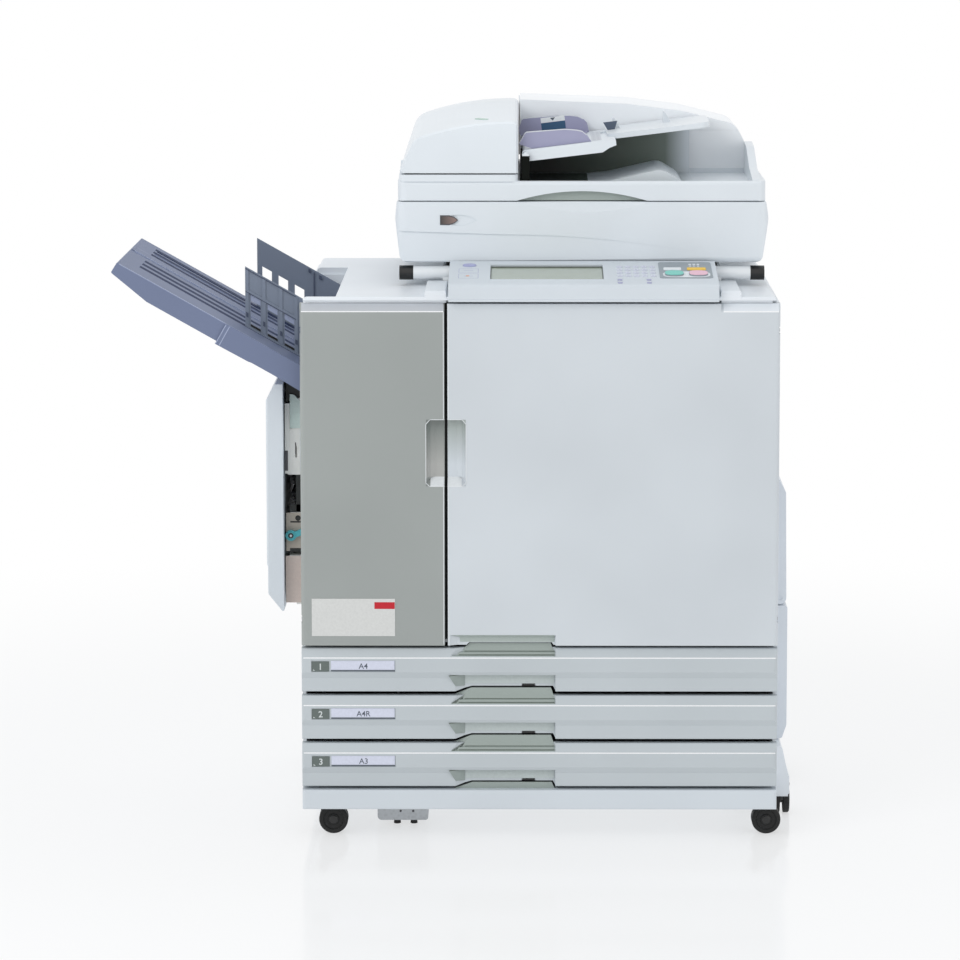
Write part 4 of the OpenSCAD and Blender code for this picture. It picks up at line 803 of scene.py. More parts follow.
class PRINTER_OT_drawer_grips(Operator):
    """Add the stepped ledge, the finger room's walls and the latch of each drawer's grip, and the
    ledge on the base frame
    """
    bl_idname = "printer.drawer_grips"
    bl_label = "Drawer Grips"

    def execute(self, context):
        above, notch = corners("right_door_panel")[0][2] + 2.2, (33.5, 37.6, 174.8, 177.4)
        for number in DRAWERS:
            low, high = corners(f"tray_front_{number}")
            start, front, bottom, top = low[0] + GRIP_LEFT, low[1], low[2], high[2]
            body = f"drawer_{number}"
            self.ledge(body, shift(start, front, top), above - top, notch)
            self.room(body, shift(start, front, bottom), top - bottom - 46.3)
            # The latch is glossy black, which stands partly for the shade in its notch
            latch = Shape("hood_plastic", at=shift(start, front, bottom))
            latch.bar((126.6, 13, 8.9), (147.8, 21, 12.2), 0.8)
            latch.finish(f"{body}_latch", body, "black_plastic")
            above, notch = bottom + 5.4, (11, 40, 175.4, 179.6)
        self.base_ledge(bottom)
        return {"FINISHED"}

    def ledge(self, body, at, rise, notch):
        """The ledge in a grey-green tone that is painted shade, with dark lines of painted shade
        along its two steps.
        """
        ledge = Shape("ledge_grey_and_shade", "painted_shade_line", at=at)
        ledge.add(finger_ledge(rise, notch))
        for depth, height in ((7.1, -12.2), (12, -6.7)):
            ledge.bar((2 * depth + 4, depth - 0.5, height - 0.1),
                      (GRIP_WIDTH - 2, depth + 0.1, height + 1), finish=1)
        ledge.finish(f"{body}_finger_ledge", body)

    def room(self, body, at, head):
        """The room's slanting left wall and the dark line over it, both painted shade, and the pale
        back wall.
        """
        room = Shape("room_shade", "painted_shade_line", "room_pale", at=at)
        foot = 9.2
        side = extrusion([(0.9, 0.3), (27.9, 13.8), (28.9, 13.8), (1.9, 0.3)], foot, head)
        for vert in side.verts:
            if vert.co.z < foot + 1 and vert.co.x < 3:
                vert.co.x += 12
                vert.co.y += 6
        room.add(side)
        line = [(1.6, 0.2), (25, 11.9), (26, 11.9), (2.6, 0.2)]
        room.prism(line, head - 1.2, head - 0.1, finish=1)
        room.bar((29.4, 13.3, 13), (181.2, 13.9, head), finish=2)
        room.finish(f"{body}_room_side", body)

    def base_ledge(self, bottom):
        """The ledge on the base frame, behind the lowest drawer's finger room, in grey-green
        painted shade.
        """
        low, high = corners("base_frame")
        near, far, foot, head = 14.5, 20.8, high[2] - 0.5 - bottom, 5.6
        slab = extrusion([(near, foot), (near, head), (far, head), (far, foot)], 8.6, 181.8, "X")
        for vert in slab.verts:
            if vert.co.z > 1:
                vert.co.x = 41.5 if vert.co.x < GRIP_WIDTH / 2 else 177
        shelf = Shape("ledge_grey_and_shade", at=shift(low[0] + GRIP_LEFT, low[1], bottom))
        shelf.add(slab)
        shelf.finish("base_ledge")


class PRINTER_OT_drawer_insides(Operator):
    """Fit the lift plate and the paper guides inside each drawer"""
    bl_idname = "printer.drawer_insides"
    bl_label = "Drawer Insides"

    def execute(self, context):
        wall = 2.5
        for number in DRAWERS:
            low, high = corners(f"tray_box_{number}")
            at = shift(0, low[1] + wall, low[2] + 2.6)
            rear = high[1] - low[1] - 2 * wall
            body = f"drawer_{number}"
            plate, thick = Shape("bright_steel", at=at), 1.4
            outline = rounded((-205, 30), (225, rear - 40), radius=12)
            plate.prism(outline, 0, thick, edge=0.3)
            for y in (rear - 90, 60):
                plate.bar((-150, y, thick), (170, y + 6, thick + 2), 0.6)
            plate.finish(f"{body}_lift_plate", body, "sheet_steel")
            guides = Shape("cover_plastic", "lever_plastic", at=at)
            for y in (14, rear - 20):
                guides.bar((-120, y, 0), (140, y + 5, 42), 1.2)
                guides.bar((-120, y - 7, 0), (140, y + 12, 3), 0.8)
                guides.bar((0, y - 3, 30), (26, y + 8, 40), 2, 1)
            guides.bar((-250, 190, 0), (-245, 340, 40), 1.2)
            guides.bar((-262, 190, 0), (-232, 340, 3), 0.8)
            guides.bar((-256, 250, 26), (-240, 280, 36), 2, 1)
            guides.finish(f"{body}_paper_guides", body)
        return {"FINISHED"}


class PRINTER_OT_door_plate(Operator):
    """Put the bare plate with its red tab on the grey door"""
    bl_idname = "printer.door_plate"
    bl_label = "Door Plate"

    def execute(self, context):
        low = corners("left_door_panel")[0]
        plate = Shape("pale_plate", "red_tab", at=shift(low[0] + 18, low[1], low[2] + 16.5))
        plate.bar((0, -0.7, 0), (141.5, 0, 64.5), 0.2)
        plate.bar((106.5, -0.9, 47), (141, -0.6, 58.6), 0.1, 1)
        plate.finish("door_plate", "left_door")
        return {"FINISHED"}


class PRINTER_OT_door_grips(Operator):
    """Line the doors' shared finger grip with painted shade, and add painted highlights along its
    rim, the doors' edges and their top ridges, with painted light on the top bevels
    """
    bl_idname = "printer.door_grips"
    bl_label = "Door Grips"

    def execute(self, context):
        for body, side, shade in (("left_door", 1, "grey"), ("right_door", -1, "pale")):
            low, high = corners(f"{body}_panel")
            edge = high[0] if side > 0 else low[0]
            head, foot = -196.5, -310.5
            at = shift(edge, low[1], high[2])
            cup = Shape(f"grip_shade_{shade}", "pale_edge_and_highlight", at=at)
            self.line_cup(cup, side, foot, head)
            self.rim_cup(cup, side, foot, head)
            cup.finish(f"{body}_grip_shade_lining", body)
            # Painted highlights on the doors' edges beside the gap between them
            strip = Shape("pale_edge_and_highlight", at=at)
            near, far = sorted((-side * 1.0, -side * 2.2))
            for z0, z1 in ((low[2] - high[2] + 2, foot - 1), (head + 1, -14)):
                strip.bar((near, -0.12, z0), (far, 0.3, z1), 0.05)
            strip.finish(f"{body}_edge_highlight_strip", body)
            # Over each door's sloping top a sheet of painted light: a paler grey on the grey door,
            # the paler cover plastic on the white door
            ends, bevel = (low[0] + 3, high[0] - 1.5), "bevel_painted_light"
            if side < 0:
                ends, bevel = (corners("control_panel")[1][0] + 8, high[0] - 3), "cover_plastic"
            ridge = Shape("painted_bead_highlight", bevel, at=shift(0, low[1], high[2]))
            ridge.bar((ends[0], -0.4, -13.8), (ends[1], 0.6, -12), 0.3)
            sheet = [(-0.1, -12.3), (11.9, 0.15), (12.4, -0.5), (0.4, -12.9)]
            ridge.prism(sheet, *ends, "X", finish=1)
            ridge.finish(f"{body}_top_ridge_highlight", body)
        return {"FINISHED"}

    def line_cup(self, cup, side, foot, head):
        """The grip's curved back wall and upper corner in painted shade, and a painted highlight at
        its foot.
        """
        wall = ((0.6, 14.9), (16, 14.9), (24.6, 11.5), (29.4, 6), (30.9, 0.3),
                (30.2, 0.3), (28.6, 5.6), (24, 10.8), (15.8, 14.2), (0.6, 14.2))
        cup.prism([(-side * x, y) for x, y in wall], foot + 14.5, head - 0.3)
        corner = ((30.8, -0.1), (30.8, -8), (23.5, -0.1))
        cup.prism([(-side * x, head + z) for x, z in corner], 0.2, 6, "Y")
        tread = ((0.1, 0.3), (14.9, 14.2), (14.9, 15.2), (0.1, 1.3))
        cup.prism([(y, foot + z) for y, z in tread], -side * 0.6, -side * 24, "X", finish=1)

    def rim_cup(self, cup, side, foot, head, bead=1.1):
        """A bead of painted highlight along the grip's open edge."""
        rim = ((0.6, head), (24.5, head), (31.6, head - 8), (31.6, foot + 6), (25.5, foot),
               (0.6, foot))
        rim = [(-side * x, z) for x, z in rim]
        for (x0, z0), (x1, z1) in zip(rim, rim[1:]):
            run = math.hypot(x1 - x0, z1 - z0)
            across, up = (x1 - x0) / run, (z1 - z0) / run
            turn = Matrix(((across, -up, 0, x0), (0, 0, -1, 0), (up, across, 0, z0), (0, 0, 0, 1)))
            strip = bar((-bead / 2, -bead / 2, -0.2), (run + bead / 2, bead / 2, 0.35), 0.15)
            cup.add(strip, 1, turn)


class PRINTER_OT_door_finger_room(Operator):
    """Line the finger room in the right door's lower edge, over the top drawer's grip, with a
    green-grey sheet of painted shade
    """
    bl_idname = "printer.door_finger_room"
    bl_label = "Door Finger Room"

    def execute(self, context):
        low = corners("right_door_panel")[0]
        outline = [(8.5, 4.9), (7.9, 13.9), (0.4, 18.1), (0.2, 17.6), (7.4, 13.5), (8, 4.9)]
        sheet = extrusion(outline, 0, GRIP_WIDTH - 1.5, "X")
        for vert in sheet.verts:
            if vert.co.x < GRIP_WIDTH / 2:
                vert.co.x = 5 + 2 * vert.co.y
        start = corners("tray_front_1")[0][0] + GRIP_LEFT
        lining = Shape("room_green_shade", at=shift(start, low[1], low[2]))
        lining.add(sheet)
        lining.finish("door_room_shade_lining", "right_door")
        return {"FINISHED"}


class PRINTER_OT_cover_seal(Operator):
    """Close the gap between the doors' tops and the cover's lip with a pale seal"""
    bl_idname = "printer.cover_seal"
    bl_label = "Cover Seal"

    def execute(self, context):
        low, high = corners("left_door_panel")
        panel_low, panel_high = corners("control_panel")
        seal = Shape("cover_plastic", at=shift(0, low[1] + 13, high[2]))
        for start, end in ((low[0] + 6, panel_low[0] - 4),
                           (panel_high[0] + 5, corners("top_cover")[1][0] - 8)):
            seal.bar((start, 0, 0.6), (end, 4, 5), 0.3)
        seal.finish("cover_seal")
        return {"FINISHED"}


class PRINTER_OT_ink_bay(Operator):
    """Fit the cartridge labels and the inner covers with their release knobs behind the doors"""
    bl_idname = "printer.ink_bay"
    bl_label = "Ink Bay"

    def execute(self, context):
        self.cartridge_labels()
        self.inner_covers()
        return {"FINISHED"}

    def cartridge_labels(self, pitch=80):
        low, high = corners("ink_cartridges")
        bands = "band_cyan", "band_magenta", "band_yellow", "band_black"
        labels = Shape("pale_plate", *bands, "black_plastic", at=shift(*low))
        right = high[0] - low[0] - 38
        for index in range(len(bands)):
            foot = pitch * index + 14
            labels.bar((14, -0.5, foot), (78, 0.2, foot + 28), 0.1)
            labels.bar((14, -0.9, foot), (22, -0.4, foot + 28), 0.1, index + 1)
            labels.bar((right, 1, foot + 10), (right + 16, 8, foot + 18), 1.5, 5)
        labels.finish("cartridge_labels", slot="black_plastic")

    def inner_covers(self):
        inner = Shape("cover_plastic", "lever_plastic", "duct_plastic", "black_plastic",
                      at=shift(0, corners("inner_fascia")[0][1], 0))
        for x0, z0, x1, z1 in (
                (-136, 362, 116, 600), (128, 362, 368, 600),
                (-136, 612, 116, 890), (128, 612, 368, 890)):
            inner.prism(rounded((x0, z0), (x1, z1), radius=10), -9, 0, "Y", edge=2)
            slot = rounded((x0 + 18, z0 + 20), (x1 - 18, z0 + 52), radius=6)
            inner.prism(slot, -11.5, -8, "Y", edge=1, finish=2)
            inner.bar((x0 + 30, -10.2, z1 - 34), (x1 - 30, -8, z1 - 30), 0.6, 3)
        knob = [(0, 0), (17, 0), (17, 2), (15, 4), (13, 12), (12, 13), (0, 13)]
        for x, z, way in ((-86, 520, 1), (318, 520, -1), (-86, 812, 1), (318, 700, -1)):
            inner.add(turning(knob, sides=40), 1, facing(x, -8.5, z, FORWARD))
            inner.bar((x - 2.5, -22.6, z - 15), (x + 2.5, -20, z + 15), 1, 1)
            mark = x + way * 30
            inner.bar((mark - 8, -10.5, z - 2), (mark + 8, -8, z + 2), 0.8, 3)
        inner.finish("inner_covers", smooth=True)


# ---- Control panel ----

def panel_place():
    """Place of the control panel's sloping top: X across, Y back from its front crease."""
    low, high = corners("control_panel")
    rise, run = 22.5, 176
    return shift(0, low[1] + 4, high[2] - 22) @ Matrix.Rotation(math.atan(rise / run), 4, "X")


class PRINTER_OT_panel_details(Operator):
    """Add the caps, lamps and printed marks of the control panel"""
    bl_idname = "printer.panel_details"
    bl_label = "Panel Details"

    def execute(self, context):
        top = panel_place()
        self.start_stop_caps(top @ shift(corners("panel_keys")[1][0] - 90, 0, 0))
        self.wake_key(top @ shift(corners("control_panel")[0][0] + 34, 0, 0))
        self.function_keys(top)
        mark_grid("keypad_marks", "cabinet", grid=(5, 4), size=(56, 66),
                  mark=(3.4, 4.2, 0.2), material="faint_mark", place=top @ shift(164, 95, 1.7))
        low, high = corners("lcd_screen")
        # Dark lines of painted shade round the inside of the screen's recess
        rim = Shape("painted_shade_line", at=top @ shift(0, 0, -4))
        for a, b in border((low[0], 40), (high[0], 146), foot=1.6, head=7, side=1.8):
            rim.bar((*a, 0), (*b, 1), 0.2)
        rim.finish("painted_shade_line", slot="lcd")
        return {"FINISHED"}

    def start_stop_caps(self, at):
        """The start and stop keys in their field, two oblong keys, lamps and printed lines."""
        caps = Shape("start_green", "stop_pink", "signal_yellow", "pill_white", "window_rim", at=at)
        face = 0.8
        field = rounded((6, 50.5), (86, 91), radius=16, steps=8)
        caps.prism(field, face, 1.3, edge=0.2, finish=3)
        for x, finish in ((9.4, 0), (50.4, 1)):
            cap = rounded((x, 55.4), (x + 31.2, 86.6), radius=11.7, steps=8)
            caps.prism(cap, 3.2, 4.6, edge=0.5, finish=finish)
        for x0, x1, finish in ((8, 38, 3), (48, 80, 2)):
            key = rounded((x0, 101), (x1, 118), radius=2)
            caps.prism(key, face, 2, edge=0.4, finish=finish)
        for x in (54, 61, 68):
            caps.add(stud(2.6, face, 2.2, chamfer=(0.8, 0.6)), 3, shift(x, 142, 0))
            caps.add(stud(2.0, face, 1.4), 3, shift(x, 131, 0))
        for x0, y0, x1, y1 in ((12, 127, 34, 129), (15, 135, 38, 136.6)):
            caps.bar((x0, y0, face), (x1, y1, face + 0.2), finish=4)
        caps.finish("start_stop_caps", slot="keys")

    def wake_key(self, at):
        """The oval wake key over two outlined keys, one with an orange lamp."""
        wake = Shape("wake_lavender", "key_print", "signal_orange", at=at)
        oval = shift(0, 137, 0) @ Matrix.Diagonal((1.35, 1, 1, 1))
        wake.add(stud(7.4, 2, 3, chamfer=(0.8, 0.5), sides=40), 0, oval)
        wake.bar((-6, 135.6, 3), (6, 138.6, 3.15), finish=1)
        for y0, y1 in ((46, 79), (86, 116)):
            for low, high in border((-18, y0), (16, y1), 1):
                wake.bar((*low, 0), (*high, 0.15), finish=1)
            middle = (y0 + y1) / 2
            wake.bar((-9, middle - 1, 0), (7, middle + 1, 0.12), finish=1)
        wake.bar((-5, 60.5, 0.1), (0.5, 64.5, 0.6), 0.15, 2)
        wake.finish("wake_key_marks", slot="keys")

    def function_keys(self, at):
        """Four small keys with a printed line over each."""
        keys = Shape("key_lavender", "key_print", at=at)
        for x in (131, 180):
            for y0, y1 in ((29, 38), (9, 17)):
                keys.prism(rounded((x, y0), (x + 8, y1), radius=1.6), 0, 0.7, edge=0.2)
            for y in (20, 41):
                keys.bar((x - 2, y, 0), (x + 10, y + 1.4, 0.1), finish=1)
        keys.finish("function_keys", slot="keys")


# ---- Scanner and document feeder ----

def document_place():
    """Place of the document tray's top: X along the slope from its pivot."""
    pivot, slope, sunk = (-24, 0, 1163.5), math.radians(-7), 2
    return shift(*pivot) @ Matrix.Rotation(slope, 4, "Y") @ shift(0, 0, -sunk)


class PRINTER_OT_scanner_details(Operator):
    """Fit the scanner's lamps, the lid's grip pad, the glass scales and the pad under the lid"""
    bl_idname = "printer.scanner_details"
    bl_label = "Scanner Details"

    def execute(self, context):
        front = corners("scanner_base")[0][1]
        self.status_lamp(front)
        lamp = Shape("feeder_lens", at=facing(-100.2, -97.9, 1220.8, (-0.11, -0.09, 0.99)))
        lamp.prism(rounded((-16, -5), (16, 5), radius=4.8), -0.8, 0.5, edge=0.2)
        lamp.finish("feeder_lamp", "feeder_cover", "teal_plastic")
        self.grip_pad(front)
        low, high = corners("platen_glass")
        wide, deep = high[0] - low[0], high[1] - low[1]
        at = shift(low[0], low[1], high[2])
        pad = Shape("pad_white", at=at)
        pad.bar((3, 3, 0.5), (wide - 3, deep - 3, 1.5), 0.3)
        pad.finish("document_pad", "lid")
        self.glass_scales(at, wide, deep)
        return {"FINISHED"}

    def status_lamp(self, front):
        """The pointed lamp on the scanner's front in its dark border."""
        low, high = corners("scanner_lamp")
        upper = ((0, 0.8), (-5, 4.2), (-13, 6.6), (-27.5, 6.6))
        nose = [(x, -z) for x, z in upper[::-1]] + list(upper)
        middle = -14
        edging = [((x - middle) * 1.1 + middle, z * 1.28) for x, z in nose]
        lens = Shape("lamp_lens", "black_plastic", at=shift(high[0], front, (low[2] + high[2]) / 2))
        lens.prism(nose, -1, 1.2, "Y", edge=0.4)
        lens.prism(edging, -0.6, 2.2, "Y", finish=1)
        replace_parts(lens.finish("status_lamp", "cabinet", "sheet_steel"), "scanner_lamp")

    def grip_pad(self, front):
        """The arched grey-green pad in the lid's front grip; its tone is partly painted shade of
        the grip.
        """
        low, high = corners("lid_base")
        rise, half, steps = 15.6, 109, 24
        radius = (half * half + rise * rise) / (2 * rise)
        arc = []
        for step in range(1, steps):
            x = half - 2 * half * step / steps
            arc.append((x, rise - radius + math.sqrt(radius * radius - x * x) + 0.4))
        pad = Shape("ledge_grey_and_shade", at=shift((low[0] + high[0]) / 2, front, low[2]))
        pad.prism([(-half, 0.2), (half, 0.2), *arc], 11.4, 13, "Y", edge=0.3)
        pad.finish("lid_grip_pad", "lid")

    def glass_scales(self, at, wide, deep):
        """Two scales along the glass with their marks."""
        scales = Shape("pale_plate", at=at)
        scales.bar((-16, -2, -0.1), (-1, deep + 14, 0.5), 0.15)
        scales.bar((-1, deep + 1, -0.1), (wide + 2, deep + 14, 0.5), 0.15)
        scales.finish("glass_scales")
        for name, grid, size, mark, x, y in (
                ("depth_scale_marks", (1, 31), (1, deep - 5), (6, 0.5, 0.1), -5, deep / 2),
                ("width_scale_marks", (43, 1), (wide - 12, 1), (0.5, 6, 0.1), wide / 2, deep + 5)):
            mark_grid(name, "cabinet", grid, size, mark, "label_ink_and_shadow",
                      at @ shift(x, y, 0.52))


class PRINTER_OT_feeder_details(Operator):
    """Line the feeder's exit with painted shade and add its rollers, the guide's label and the
    tray's scale
    """
    bl_idname = "printer.feeder_details"
    bl_label = "Feeder Details"

    def execute(self, context):
        low, high = corners("lid_base")
        left = corners("adf_cover")[1][0]
        self.exit_lining(low, left)
        foot, head = high[2] - 40, 1236
        # The seal takes the ridge's paler tone, which is painted light
        seal = Shape("ridge_painted_light", at=shift(left, high[1] - 34, foot))
        seal.bar((0.5, 0, 0), (2.5, 4, head - foot))
        seal.finish("feeder_seal", "lid")
        roller_row("exit_rollers", "lid", (left + 10, 0, 1131), radius=6, width=16, count=5,
                   pitch=46, shaft=(2, 236))
        roller_row("pickup_rollers", "lid", (left - 9, 0, 1170), radius=7, width=26, count=2,
                   pitch=60, shaft=(2.2, 200))
        place = document_place()
        self.guides(place)
        scale = Shape("scale_grey", at=place)
        scale.prism(rounded((116, -112), (133, 96), radius=3), 8, 8.3)
        scale.finish("document_scale", "document_tray")
        mark_grid("document_scale_marks", "document_tray", grid=(2, 9), size=(7, 178),
                  mark=(4.5, 1.4, 0.1), material="scale_ink", place=place @ shift(124.5, -8, 8.35))
        clip = Shape("clip_slate", at=place)
        clip.prism([(147, 13), (160, 13), (166, 27), (141, 27)], 38, 43, "Y", edge=0.6)
        clip.finish("document_stop", "document_tray", "black_plastic")
        return {"FINISHED"}

    def exit_lining(self, low, left):
        """Sheets of painted shade on the exit's back and floor, near-black at the left and pale to
        the right, and near-black ones by the cover and the pivot that are partly painted shade.
        """
        floor, front, right = 1109.5, low[1] + 12, 268 - left
        rear = corners("adf_ridge")[0][1] - front
        lining = Shape("exit_shade", "dark_shade_lining", at=shift(left, front, floor))
        back = [(4, 1), (right, 1), (right, 80.5), (60 - left, 56.5), (4, 44.5)]
        lining.prism(back, rear - 0.8, rear - 0.1, "Y")
        lining.bar((4, 1, 0.1), (right, rear - 3, 0.8))
        lining.bar((3.4, 6, 0.8), (5, rear - 3, low[2] + 45 - floor), 0.3, 1)
        ear = low[0] + 214 - left
        lining.bar((ear - 0.8, 3.2, 0), (ear + 12.8, 10.8, 50), 0.4, 1)
        lining.finish("exit_lining", "lid", "black_plastic")

    def guides(self, place):
        """The rear guide's label, and a painted highlight along the top of both guides."""
        face = corners("guide_rear")[1][1] - 4
        label = Shape("pad_white", "label_navy", "label_ink_and_shadow", at=place @ shift(0, face, 0))
        label.bar((31.6, -0.5, 34), (74.6, 0.1, 43), 0.15)
        label.bar((31.6, -0.4, 19.5), (74.6, 0.1, 33.7), 0.15, 1)
        label.prism([(48.5, 41.6), (57.5, 41.6), (53, 36.2)], -0.65, -0.4, "Y", finish=2)
        label.finish("guide_label", "guide_rear", "lavender_plastic")
        front_line = (
            (-9.3, 20.5), (2.5, 36), (5.5, 38), (72, 35.2), (92, 31), (101, 28), (108, 21))
        rear_line = ((-9, 31), (-2, 44.5), (1.5, 47), (60, 45), (84, 42.5), (98, 39), (107, 33))
        for body, y, line in (("guide_front", corners("guide_front")[0][1], front_line),
                              ("guide_rear", face, rear_line)):
            under = [(x, z - 1.3) for x, z in reversed(line)]
            edge = Shape("pale_edge_and_highlight", at=place)
            edge.prism([*line, *under], y - 0.15, y + 4.15, "Y")
            edge.finish(f"{body}_edge", body, "lavender_plastic")


# ---- Output tray and side unit ----

TRAY_SLOPE = math.radians(29.5)


def tray_place():
    """Place of the output tray's surface: X runs down the slope from the cabinet's left side."""
    left, level = corners("left_panel")[0][0], corners("top_cover")[0][2] - 109
    return shift(left, 0, level) @ Matrix.Rotation(TRAY_SLOPE, 4, "Y")


def slope_height(x, rise):
    """Level of a point that stands rise over the output tray, at a place across the machine."""
    origin = tray_place().translation
    return origin.z - (x - origin.x) * math.tan(TRAY_SLOPE) + rise / math.cos(TRAY_SLOPE)


def sloping_band(x0, x1, low, high, y0, y1):
    """A band parallel to the output tray between two upright edges."""
    outline = [(x0, slope_height(x0, low)), (x1, slope_height(x1, low)),
               (x1, slope_height(x1, high)), (x0, slope_height(x0, high))]
    return extrusion(outline, y0, y1, "Y")


class PRINTER_OT_tray_details(Operator):
    """Add painted shadows in the output tray's grooves, painted highlights on its edges, and the
    fences' bands, seams and clips
    """
    bl_idname = "printer.tray_details"
    bl_label = "Tray Details"

    def execute(self, context):
        place = tray_place()
        for side, y, wide in (("front", -142.5, 86), ("rear", 55, 82)):
            mark_grid(f"{side}_groove_shadows", "cabinet", grid=(1, 3),
                      size=(1, wide), mark=(382, 22, 0.6), material="groove_painted_shadow",
                      place=place @ shift(-131, y, -0.2))
        self.edge_lines(place)
        self.front_fence()
        self.rear_fence()
        return {"FINISHED"}

    def edge_lines(self, place):
        """Painted highlights on the tray's near edge and raised band, and two across its bracket.
        """
        near = corners("output_tray")[0][1]
        bracket, side = corners("output_bracket")[0], 39
        edges = Shape("tray_pale_and_highlight", at=place)
        edges.bar((-352, near - 0.1, -1), (-60, near + 0.9, 0.1), 0.3)
        for y0, y1 in ((near + 225.7, near + 227), (near + 269.8, near + 271.2)):
            edges.bar((-348, y0, 0), (50, y1, 1.7), 0.2)
        end = bracket[0] - place.translation.x + side * math.sin(TRAY_SLOPE)
        end /= math.cos(TRAY_SLOPE)
        for x in (end + 0.2, end + 7):
            edges.bar((x, bracket[1] - 0.2, 1 - side), (x + 1.6, bracket[1] + 0.6, -1), 0.3)
        edges.finish("tray_pale_and_highlight_lines", slot="tray_blue_grey")

    def front_fence(self):
        """Bands over the windows, ribs, slots under the windows and clips between them."""
        low = corners("fence_front")[0]
        left, face, pitch = low[0], low[1] + 8, 29
        band = Shape("rib_shadow", "hood_plastic", "tray_pale_and_highlight")
        band.add(sloping_band(left + 6, left + 87, 42.5, 52.3, face + 0.7, face + 2.6), 2)
        for rise in (51.5, 85.6):
            band.add(sloping_band(left, left + 87, rise, rise + 1.4, face - 2.2, face - 0.1))
        for x in (left + 9, left + 9 + pitch, left + 9 + 2 * pitch):
            band.add(sloping_band(x, x + 17, 3.6, 7, face - 0.6, face + 0.4), 1)
        for lead in (1.5, 1.5 + pitch, 1.5 + 2 * pitch, 3 * pitch - 1.5):
            x = left + lead
            band.add(sloping_band(x, x + 3.5, 15, 22, face - 3.4, face - 1.9))
        band.finish("fence_front_bands", "fence_front", "tray_blue_grey")

    def rear_fence(self):
        """A seam down the fence with a clip on each side of its head."""
        low, high = corners("fence_rear")
        x, face = low[0] + 101, high[1] - 11
        seam = Shape("rib_shadow")
        for x0, x1, foot, head, proud in (
                (x, x + 2, 3, 103, 0.3), (x - 9, x - 5, 98, 104, 1.2),
                (x + 10, x + 15, 97, 103, 1.2)):
            seam.add(sloping_band(x0, x1, foot, head, face - proud, face + 0.2))
        seam.finish("fence_rear_seam", "fence_rear", "tray_blue_grey")


class PRINTER_OT_side_details(Operator):
    """Fit the plates, rollers, catch and lever hub of the unit under the output tray"""
    bl_idname = "printer.side_details"
    bl_label = "Side Unit Details"

    def execute(self, context):
        low, high = corners("side_unit")
        x, y, z = high[0], low[1] + 2, low[2]
        at = shift(x, y, z)
        outer = -26.4
        self.duct_plates(at, outer)
        self.roller_bay(at, outer, high[1] - y)
        for name, rise in (("upper_bay_rollers", 212), ("lower_bay_rollers", 184)):
            roller_row(name, "cabinet", (x + outer + 7, -50, z + rise), radius=6.4, width=34,
                       count=6, pitch=46, shaft=(2, 292), metal="hood_plastic")
        self.lever_hub()
        low, high = corners("exit_housing")
        roller_row("exit_housing_rollers", "cabinet", (high[0] + 6, -68, low[2] + 105), radius=8,
                   width=30, count=6, pitch=56, shaft=(3, 330))
        return {"FINISHED"}

    def duct_plates(self, at, outer):
        """Plates and seams on the front of the side unit's ducts, drawn from its wall."""
        plate = Shape("duct_plate", "pale_edge_and_highlight", "black_plastic", "duct_plastic", "duct_beige",
                      "duct_tan", at=at)
        cap = [(outer + 2.6, 307), (-3, 307), (-3, 351), (-16, 365), (outer + 2.6, 366)]
        plate.prism(cap, -1.7, -0.1, "Y", edge=0.4)
        plate.bar((-7, -1.2, 232), (-0.4, 0, 306.6), 0.3, 1)
        plate.bar((-3.4, -2.1, 307), (-2.2, -1.4, 351), 0.2, 1)
        plate.bar((outer - 6.2, -0.9, 228), (outer + 2.2, 0.4, 350), 0.3, 3)
        plate.bar((outer - 6, -2.7, 3), (-0.4, -0.1, 84.6), 0.3, 4)
        plate.bar((outer - 5, 1.7, 92.4), (-0.4, 2.5, 159.6), 0.3, 5)
        plate.bar((outer - 6.4, -1.2, 233), (outer - 1, -0.8, 268), 0.1, 2)
        plate.bar((-15, -0.5, 262), (-13.4, 0, 282), 0.1, 2)
        plate.finish("duct_plates", slot="sheet_steel")

    def roller_bay(self, at, outer, rear):
        """Dark block at the unit's head, the open bay's sheets, seams and a stud; their near-black
        is partly painted shade of the bay.
        """
        bay = Shape("dark_paint_and_shade", at=at)
        block = [(-30.5, 352), (-21, 355.6), (-1, 363), (-1, 377.5), (-30.5, 394)]
        bay.prism(block, 4, rear - 60, "Y")
        foot, head, inner = 160.6, 225.6, -6.4
        bay.bar((outer + 0.6, rear - 48, foot), (inner, rear - 45, head))
        bay.bar((outer + 12, 3, foot), (inner, 60, head), 0.6)
        bay.bar((outer + 0.6, 3, foot), (inner, 5, 174), 0.4)
        pin = stud(4.8, 0, 1.4, chamfer=(0.9, 0.6), sides=28)
        bay.add(pin, 0, facing(-11, 2.2, 150, FORWARD))
        bay.bar((outer + 2, 1.6, 142), (-2, 2.4, 145), 0.3)
        bay.bar((outer + 1, 1.4, 91.5), (-1, 2.4, 97.5), 0.3)
        bay.finish("roller_bay", slot="black_plastic")

    def lever_hub(self):
        """The lever's black hub with a steel pin, in a teal ring."""
        low = corners("side_lever")[0]
        hub = Shape("hood_plastic", "bright_steel", "lever_plastic",
                    at=facing(low[0] + 7, low[1], low[2] + 7, FORWARD))
        hub.add(stud(4.6, 0, 1, chamfer=(0.6, 0.4), sides=28))
        hub.add(stud(2.2, 0.9, 2.2, chamfer=(0.6, 0.4)), 1)
        ring = [(6.3, 0), (9.4, 0), (9.4, 1.2), (8.9, 1.6), (6.8, 1.6), (6.3, 1.2)]
        hub.add(turning(ring, sides=36), 2, shift(0, 0, -2.4))
        hub.finish("lever_hub", slot="teal_plastic")


# ---- Underside, sides and rear ----

